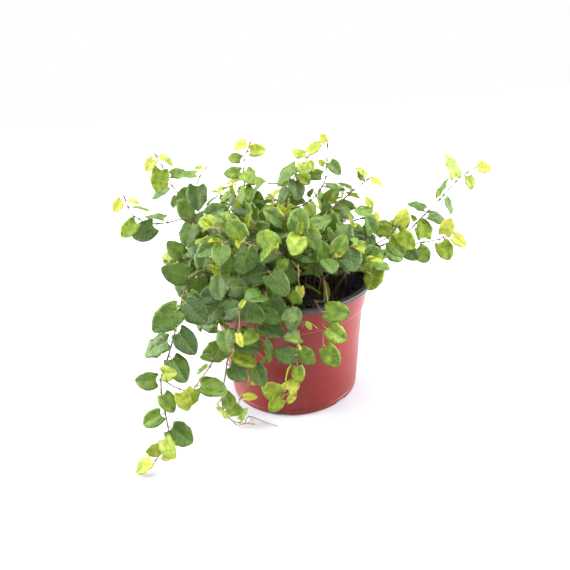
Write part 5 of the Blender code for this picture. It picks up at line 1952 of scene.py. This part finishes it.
@dataclass
class LeafyStem:
    """One stem with its side shoots, leaves, buds, stipules and aerial roots.

    The bud's ring radii are shares of the stem's tip. A rootlet's length is its least and how much it varies.
    """

    name: str
    stems: list[Stem]
    leaves: list[Leaf]
    numbers: list[int]
    youth: float = 0.0
    slimness: float = 0.52
    step: float = 1.2
    sides: int = 8
    node_swelling: float = 0.34
    node_length: float = 0.9
    bud_length: float = 3.0
    bud_rings: Numbers = (1.35, 1.2, 0.7, 0.12)
    floor_gap: float = 0.7
    new_length: float = 26.0
    scale_rings: Numbers = (0.26, 0.30, 0.18, 0.03)
    rooted_share: float = 0.3
    rootlet_length: Pair = (3.0, 6.0)
    rootlet_gap: float = 0.3

    def build(self, materials: Materials) -> bpy.types.Object:
        """Builds the stem's piece in place of its node.

        Args:
            materials: the leaf's and the bark's.

        Returns:
            The piece.
        """
        surfaces = [self.shoot(stem) for stem in self.stems]
        surfaces.append(LeafForm().surface(self.leaves, self.numbers))
        surfaces.append(PetioleForm().surface(self.leaves))
        surfaces.append(self.stipules())
        surfaces.extend(self.rootlets())
        return make_piece(f"{self.name}_vine", surfaces, materials, self.name)

    def shoot(self, stem: Stem) -> Surface:
        """Carries a ring along the spine, rounded at its bends, swollen at the nodes and closed by a bud.

        At a distance d from a node the radius grows by node_swelling exp(-(d / node_length)^2) of itself.

        Args:
            stem: the stem.

        Returns:
            Its surface.
        """
        bends = lengths_along(stem.spine)
        reach = bends[-1]
        at = np.linspace(0, reach, max(4, int(reach / self.step)))
        line = eased(read_at(stem.spine, at))
        rings = len(self.bud_rings)
        past = np.linspace(0, 1, rings + 1)[1:] * self.bud_length
        line = np.vstack([line, line[-1] + unit(line[-1] - line[-2]) * past[:, None]])
        line[:, 2] = np.maximum(line[:, 2], self.floor_gap)
        radius = np.interp(at, bends, stem.radii) * self.slimness
        off_nodes = at[:, None] - stem.node_at
        near = np.exp(-(off_nodes / self.node_length) ** 2).max(axis=1, initial=0.0)
        bud = radius[-1] * np.array(self.bud_rings)
        radius = np.concatenate([radius * (1 + self.node_swelling * near), bud])
        along = np.concatenate([at, reach + past])
        reference = np.linalg.svd(stem.spine - stem.spine.mean(axis=0))[2][-1]
        points, faces = tubes(line[None], radius[None], self.sides, reference[None])
        new = smooth_step(along, reach - self.new_length, reach)
        knot = 0.85 * np.exp(-(off_nodes / 0.6) ** 2).max(axis=1, initial=0.0)
        marks = {"age": 0.12 + 0.33 * along / reach + 0.5 * new + self.youth,
                 "knot": np.concatenate([knot, np.zeros(rings)]),
                 "stalk": np.concatenate([np.zeros(len(at)), np.full(rings, 0.55)])}
        marks = {name: np.repeat(values, self.sides) for name, values in marks.items()}
        return Surface(points, faces, VineSlot.BARK.value, marks)

    def stipules(self) -> Surface:
        """Sets two dark pointed scales at each node, pressed to the stem: cones 2 mm long.

        Returns:
            One surface for all of them.
        """
        nodes = np.vstack([stem.nodes for stem in self.stems])
        along = np.vstack([stem.node_along for stem in self.stems])
        draw = np.random.default_rng([RULE.seed, 13, self.stems[0].owner])
        nodes, along = np.repeat(nodes, 2, axis=0), np.repeat(along, 2, axis=0)
        outward = units(np.cross(along, draw.normal(size=along.shape)))
        t = np.linspace(0, 1, len(self.scale_rings))[None, :, None]
        length = 1.3 + 0.9 * draw.random((len(nodes), 1, 1))
        off = 0.2 + 0.45 * t**1.5
        paths = nodes[:, None] + length * (along[:, None] * t * 0.9 + outward[:, None] * off)
        radii = np.broadcast_to(np.array(self.scale_rings), paths.shape[:2])
        points, faces = tubes(paths, radii, 4, outward)
        marks = {"knot": np.full(len(points), 0.75), "age": np.full(len(points), 0.6)}
        return Surface(points, faces, VineSlot.BARK.value, marks)

    def rootlets(self) -> list[Surface]:
        """Hangs pale aerial roots from some nodes: thin tubes that sag and curl.

        Returns:
            One surface, or none where no node has them.
        """
        nodes = np.vstack([stem.nodes for stem in self.stems])
        draw = np.random.default_rng([RULE.seed, 17, self.stems[0].owner])
        picked = np.repeat(nodes[draw.random(len(nodes)) < self.rooted_share], 2, axis=0)
        picked = picked[picked[:, 2] > 3.0]
        if not len(picked):
            return []
        heading = units(draw.normal(size=picked.shape) - 0.4 * UP)
        least, varies = self.rootlet_length
        length = least + varies * draw.random((len(picked), 1, 1)) ** 2
        t = np.linspace(0, 1, 8)[None, :, None]
        curl = np.cross(heading, units(draw.normal(size=picked.shape)))[:, None]
        curled = curl * 0.16 * np.sin(5 * t)
        paths = picked[:, None] + length * (heading[:, None] * t + curled - 0.3 * UP * t**2)
        paths[..., 2] = np.maximum(paths[..., 2], self.rootlet_gap)
        radii = np.broadcast_to(0.17 - 0.12 * t[..., 0], paths.shape[:2])
        points, faces = tubes(paths, radii, 3, units(np.cross(heading, curl[:, 0])))
        return [Surface(points, faces, VineSlot.BARK.value, {"rootlet": np.full(len(points), 1.0)})]


# Pot and compost

def rounded(corners: Sequence[Triple], steps: int = 5) -> Array:
    """Rounds a profile's corners: each becomes a quadratic curve between points its rounding away from it.

    Args:
        corners: radius, height and rounding of each corner.
        steps: points in each rounded corner.

    Returns:
        The profile's points: radius and height.
    """
    spots = np.array([corner[:2] for corner in corners], float)
    t = np.linspace(0, 1, steps)[:, None]
    runs = []
    for k, (_, _, rounding) in enumerate(corners):
        if not rounding:
            runs.append(spots[k:k + 1])
            continue
        back = spots[k] + rounding * unit(spots[k - 1] - spots[k])
        on = spots[k] + rounding * unit(spots[k + 1] - spots[k])
        runs.append((1 - t) ** 2 * back + 2 * t * (1 - t) * spots[k] + t**2 * on)
    return np.vstack(runs)


def refined(profile: Array, longest: float) -> Array:
    """Adds points to a profile so that none of its steps is longer than `longest`.

    Args:
        profile: radius and height of each point.
        longest: the longest step.

    Returns:
        The profile with the points added.
    """
    runs = []
    for start, end in zip(profile, profile[1:]):
        steps = max(1, math.ceil(np.linalg.norm(end - start) / longest))
        runs.append(start + (end - start) * np.linspace(0, 1, steps + 1)[:-1, None])
    return np.vstack(runs + [profile[-1:]])


def turned(profile: Array, sectors: int) -> tuple[Array, list[Array]]:
    """Turns a profile about Z; it starts and ends on the axis and runs anticlockwise, so faces point out.

    Args:
        profile: radius and height of each point, on the axis at both ends.
        sectors: how many steps round.

    Returns:
        The points, the ones on the axis last, and the faces.
    """
    azimuth = 2 * math.pi * np.arange(sectors) / sectors
    radius, height = profile[1:-1, 0, None], profile[1:-1, 1, None]
    rings = np.stack(np.broadcast_arrays(radius * np.cos(azimuth), radius * np.sin(azimuth), height), -1)
    points = np.vstack([rings.reshape(-1, 3), [[0, 0, profile[0, 1]], [0, 0, profile[-1, 1]]]])
    return points, closed_rings(len(profile) - 2, sectors)


@dataclass
class Pot:
    """The thin moulded pot: terracotta outside, black lip and lining, rounded edges, slots in its foot."""

    sizes: PotSizes = POT
    sectors: int = 240
    longest_step: float = 4.0
    slot_edge: float = 1.2
    groove_height: float = 4.4
    groove_half: float = 0.5
    groove_depth: float = 0.4

    def build(self) -> bpy.types.Object:
        """Turns the wall as one closed surface whose faces are divided between the two materials.

        Returns:
            The piece.
        """
        outside, lining = self.outer_profile(), self.inner_profile()
        points, (bands, fans) = turned(np.vstack([outside, lining]), self.sectors)
        points = self.with_slots(points, len(outside))
        edge = (len(outside) - 2) * self.sectors
        out = Surface(points, [bands[:edge], fans[:self.sectors]], PotSlot.OUTSIDE.value)
        lining_faces = [bands[edge:] - len(points), fans[self.sectors:] - len(points)]
        inside = Surface(np.zeros((0, 3)), lining_faces, PotSlot.LINING.value)
        finishes = (TerracottaFinish(band_foot=self.sizes.band_foot * MM), LiningFinish())
        materials = [finish.material() for finish in finishes]
        return make_piece("nursery_pot", [out, inside], materials, "pot")

    def outer_profile(self) -> Array:
        """Gives the outside: from the middle of the underside out to the foot, and up to under the lip.

        Returns:
            Radius and height of each point.
        """
        size = self.sizes
        corners = [
            (0.0, 0.0, 0.0), (size.pad_radius, 0.0, 0.4), (size.pad_radius + size.wall, size.base_lift, 0.4),
            (size.foot_radius - size.foot_width - size.wall, size.base_lift, 0.4),
            (size.foot_radius - size.foot_width, 0.0, 0.5), (size.foot_radius, 0.0, 0.8),
            (size.wall_foot_radius, size.foot_chamfer, 0.7), *self.groove(),
            (size.wall_top_radius, size.band_foot - size.wall, 0.35),
            (size.band_foot_radius, size.band_foot, 0.5),
            (size.band_top_radius, size.height - size.wall, 0.3),
            (size.lip_radius - size.wall, size.height - size.wall, 0.0)]
        return refined(rounded(corners), self.longest_step)

    def groove(self) -> list[Triple]:
        """Gives the corners of the shallow ring that is pressed into the wall just above the foot.

        Returns:
            Radius, height and rounding of each corner.
        """
        size = self.sizes
        wall_height = size.band_foot - size.wall - size.foot_chamfer
        slope = (size.wall_top_radius - size.wall_foot_radius) / wall_height
        corners = []
        for offset, depth in ((-self.groove_half, 0.0), (0.0, self.groove_depth), (self.groove_half, 0.0)):
            rise = self.groove_height + offset - size.foot_chamfer
            corners.append((size.wall_foot_radius + slope * rise - depth, size.foot_chamfer + rise, 0.1))
        return corners

    def inner_profile(self) -> Array:
        """Gives the lip and the inside: out round the lip's rolled edge, and down to the middle of the base.

        Returns:
            Radius and height of each point.
        """
        size = self.sizes
        corners = [
            (size.lip_radius - size.wall + 0.01, size.height - size.wall, 0.0),
            (size.lip_radius - size.wall, size.height - size.lip_drop, 0.25),
            (size.lip_radius, size.height - size.lip_drop, 0.45),
            (size.lip_radius, size.height, 0.7),
            (size.band_top_radius - size.wall, size.height, 0.8),
            (size.band_foot_radius - size.wall, size.band_foot + size.wall, 0.5),
            (size.wall_top_radius - size.wall, size.band_foot, 0.5),
            (size.wall_foot_radius - size.wall, size.base_lift + size.wall, 0.9),
            (0.0, size.base_lift + size.wall, 0.0)]
        return refined(rounded(corners), self.longest_step)

    def with_slots(self, points: Array, outside: int) -> Array:
        """Raises the foot of the outer skin to the slots' height, within half a slot's width of each azimuth.

        Args:
            points: the turned points.
            outside: how many of the profile's points are outer skin.

        Returns:
            The points with the slots.
        """
        size = self.sizes
        pitch = 360 / size.slot_count
        azimuth = np.degrees(np.arctan2(points[:, 1], points[:, 0]))
        off = abs((azimuth - size.slot_turn + pitch / 2) % pitch - pitch / 2)
        radius = np.hypot(points[:, 0], points[:, 1])
        away = np.radians(off) * radius
        half, soft = size.slot_width / 2, self.slot_edge / 2
        mask = 1 - smooth_step(away, half - soft, half + soft)
        is_outside = np.arange(len(points)) < outside * self.sectors
        is_foot = (radius > size.foot_radius - 2 * size.foot_width) & is_outside
        raised = np.maximum(points[:, 2], size.slot_height)
        points[:, 2] += np.where(is_foot, mask * (raised - points[:, 2]), 0)
        return points


@dataclass
class Compost:
    """The plug of damp peat: a lumpy top that meets the lining, with crumbs and root fibres on it.

    `lumps` holds the height, the size and the seed of each order of lumps.
    """

    sizes: PotSizes = POT
    sectors: int = 150
    top_rings: int = 41
    lumps: tuple[tuple[float, float, int], ...] = ((0.8, 9.0, 31), (0.45, 3.5, 32), (0.22, 1.4, 33))
    crumbs: int = 620
    crumb_rows: int = 4
    crumb_columns: int = 6
    grey_share: float = 0.12
    fibres: int = 170
    fibre_stations: int = 6
    fibre_sides: int = 3

    def build(self) -> bpy.types.Object:
        """Builds the plug, its crumbs and its fibres as one piece.

        Returns:
            The piece.
        """
        draw = np.random.default_rng([RULE.seed, 23])
        surfaces = [self.plug(), self.crumb_surface(draw), self.fibre_surface(draw)]
        return make_piece("peat_top", surfaces, [PeatFinish().material()], "soil")

    def top_height(self, places: Array) -> Array:
        """Gives the top's height: a low dome with lumps.

        Args:
            places: points, whose X and Y are read.

        Returns:
            The height at each.
        """
        spread = np.hypot(places[..., 0], places[..., 1]) / self.rim_radius
        top = self.sizes.soil_top - 0.3 - self.sizes.soil_edge_drop * spread**2
        for height, size, seed in self.lumps:
            top = top + height * waves(places[..., :2], size, seed)
        return top

    @property
    def rim_radius(self) -> float:
        """Gives the radius where the peat meets the lining."""
        return self.sizes.band_foot_radius - self.sizes.wall - 0.1

    def scattered(self, count: int, margin: float, draw: Draws) -> Array:
        """Draws places spread evenly over the top.

        Args:
            count: how many.
            margin: how far they stay from its edge.
            draw: the compost's own draws.

        Returns:
            The places, at a height of 0.
        """
        radius = (self.rim_radius - margin) * np.sqrt(draw.random(count))
        azimuth = 2 * math.pi * draw.random(count)
        return np.stack([radius * np.cos(azimuth), radius * np.sin(azimuth), np.zeros(count)], -1)

    def plug(self) -> Surface:
        """Turns the plug and shifts its top by the lumps.

        Returns:
            Its surface.
        """
        size = self.sizes
        foot = size.base_lift + size.wall + size.fit
        foot_radius, neck_radius = (radius - size.wall - size.fit - 0.2
                                    for radius in (size.wall_foot_radius, size.wall_top_radius))
        corners = [(0.0, foot, 0.0), (foot_radius, foot, 0.6), (neck_radius, size.band_foot - size.fit, 0.0),
                   (self.rim_radius - 0.6, size.band_foot + size.wall, 0.0)]
        for share in np.linspace(1, 0, self.top_rings + 1):
            corners.append((self.rim_radius * share, size.soil_top, 0.0))
        points, faces = turned(rounded(corners), self.sectors)
        is_top = points[:, 2] > size.soil_top - 0.01
        points[is_top, 2] = self.top_height(points[is_top])
        return Surface(points, faces)

    def crumb_surface(self, draw: Draws) -> Surface:
        """Scatters crumbs: balls of a few faces, squashed and dented by noise, half sunk in the top.

        Args:
            draw: the compost's own draws.

        Returns:
            The crumbs.
        """
        count, rows, columns = self.crumbs, self.crumb_rows, self.crumb_columns
        centres = self.scattered(count, 1.5, draw)
        size = 0.45 + 1.5 * draw.random(count) ** 2.5
        centres[:, 2] = self.top_height(centres) + size * 0.2
        polar = (math.pi * (np.arange(rows) + 1) / (rows + 1))[:, None]
        around = 2 * math.pi * np.arange(columns) / columns
        ball = np.stack(np.broadcast_arrays(np.sin(polar) * np.cos(around), np.sin(polar) * np.sin(around),
                                            np.cos(polar)), -1).reshape(-1, 3)
        ball = np.vstack([ball, [[0, 0, 1], [0, 0, -1]]])
        squash = 0.6 + 0.7 * draw.random((count, 1, 3))
        dents = 1 + 0.22 * waves(ball[None] * 1.2 + draw.normal(size=(count, 1, 3)) * 9, 2.2, 35)[..., None]
        points = centres[:, None] + size[:, None, None] * ball[None] * squash * dents
        faces = [repeated(flipped(part), count, len(ball)) for part in closed_rings(rows, columns)]
        chip = np.where(draw.random(count) < self.grey_share, 0.3 + 0.6 * draw.random(count), 0.0)
        return Surface(points.reshape(-1, 3), faces, marks={"chip": np.repeat(chip, len(ball))})

    def fibre_surface(self, draw: Draws) -> Surface:
        """Lays thin curved root fibres on the top.

        Args:
            draw: the compost's own draws.

        Returns:
            The fibres.
        """
        count = self.fibres
        starts = self.scattered(count, 6.0, draw)
        heading = 2 * math.pi * draw.random(count)
        t = np.linspace(0, 1, self.fibre_stations)
        angle = heading[:, None] + (draw.random((count, 1)) - 0.5) * 3.0 * t
        length = (2.0 + 4.0 * draw.random((count, 1))) / len(t)
        x = starts[:, :1] + np.cumsum(length * np.cos(angle), axis=1)
        y = starts[:, 1:2] + np.cumsum(length * np.sin(angle), axis=1)
        paths = np.stack([x, y, np.zeros_like(x)], -1)
        paths[..., 2] = self.top_height(paths) + 0.25 + 0.5 * np.sin(math.pi * t)
        radii = np.broadcast_to(0.15 - 0.06 * t, x.shape)
        points, faces = tubes(paths, radii, self.fibre_sides, np.broadcast_to(UP, (count, 3)))
        chip = np.repeat(0.25 + 0.5 * draw.random(count), self.fibre_stations * self.fibre_sides)
        return Surface(points, faces, marks={"chip": chip})


# Studio

@dataclass(frozen=True)
class Softbox:
    """A square lamp: where it stands, where it aims, its side and its power, in metres and watts."""

    name: str
    place: Triple
    target: Triple
    side: float
    power: float

    def build(self) -> None:
        """Adds the lamp."""
        data = bpy.data.lights.new(self.name, "AREA")
        data.shape = "SQUARE"
        data.size = self.side
        data.energy = self.power
        lamp = bpy.data.objects.new(self.name, data)
        lamp.location = self.place
        lamp.rotation_euler = (Vector(self.target) - Vector(self.place)).to_track_quat("-Z", "Y").to_euler()
        bpy.context.scene.collection.objects.link(lamp)


@dataclass
class Studio:
    """The white studio: floor, pale surroundings, softboxes and the camera at the photograph's view."""

    camera_place: Triple = (0.0, -0.4032, 0.2498)
    camera_right: Triple = (0.9972, -0.0253, -0.0709)
    camera_ahead: Triple = (-0.0045, 0.9203, -0.3911)
    lens: float = 39.37
    sensor: float = 36.0
    floor_side: float = 3.2
    softboxes: tuple[Softbox, ...] = (
        Softbox("left_softbox", (-0.95, 0.10, 0.55), (0.0, 0.0, 0.06), 0.8, 33.0),
        Softbox("right_softbox", (0.95, 0.05, 0.50), (0.0, 0.0, 0.06), 0.8, 33.0),
        Softbox("top_softbox", (-0.10, 0.25, 1.15), (0.0, 0.0, 0.08), 0.9, 22.0),
    )

    def build(self) -> None:
        """Builds the studio."""
        self.build_floor()
        self.build_surroundings()
        for softbox in self.softboxes:
            softbox.build()
        self.build_camera()
        bpy.context.scene.view_settings.view_transform = "Standard"

    def build_floor(self) -> None:
        """Lays a wide white floor under the pot."""
        half = self.floor_side / 2
        corners = [(-half, -half, 0), (half, -half, 0), (half, half, 0), (-half, half, 0)]
        mesh = bpy.data.meshes.new("white_floor")
        mesh.from_pydata(corners, [], [(0, 1, 2, 3)])
        mesh.materials.append(FloorFinish().material())
        floor = bpy.data.objects.new("white_floor", mesh)
        bpy.context.scene.collection.objects.link(floor)

    def build_surroundings(self) -> None:
        """Lights the scene evenly from a white world."""
        world = bpy.data.worlds.new("white_room")
        world.use_nodes = True
        sheet = NodeSheet(world.node_tree)
        light = sheet.add("ShaderNodeBackground", {}, {"Color": (1.0, 1.0, 1.0, 1.0)})
        sheet.add("ShaderNodeOutputWorld", {}, {"Surface": light})
        bpy.context.scene.world = world

    def build_camera(self) -> None:
        """Sets the camera at the photograph's view."""
        data = bpy.data.cameras.new("photo_camera")
        data.lens = self.lens
        data.sensor_width = self.sensor
        data.sensor_fit = "HORIZONTAL"
        camera = bpy.data.objects.new("photo_camera", data)
        right = unit(self.camera_right)
        back = -unit(self.camera_ahead)
        up = unit(np.cross(back, right))
        rows = [(right[k], up[k], back[k], self.camera_place[k]) for k in range(3)]
        camera.matrix_world = Matrix([*rows, (0, 0, 0, 1)])
        bpy.context.scene.collection.objects.link(camera)
        bpy.context.scene.camera = camera


def build_vines(garden: Garden) -> None:
    """Builds a piece for each main stem, with its side shoots and leaves.

    Args:
        garden: what has grown.
    """
    materials = [LeafFinish().material(), BarkFinish().material()]
    shoots: dict[str, list[Stem]] = {}
    for stem in garden.stems:
        shoots.setdefault(stem.shoot.stem, []).append(stem)
    for name, stems in shoots.items():
        numbers = [number for number, leaf in enumerate(garden.leaves) if leaf.owner == stems[0].owner]
        leaves = [garden.leaves[number] for number in numbers]
        youth = STEM_YOUTH * garden.ages.fresh.get(name, 0.0)
        LeafyStem(name, stems, leaves, numbers, youth).build(materials)


def main() -> None:
    """Builds the pot, the compost, the leafy stems and the studio."""
    logging.basicConfig(level=logging.INFO, format="%(name)s: %(message)s")
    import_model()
    Pot().build()
    Compost().build()
    garden = Garden()
    garden.grow()
    build_vines(garden)
    Studio().build()
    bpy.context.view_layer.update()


if __name__ == "__main__":
    main()
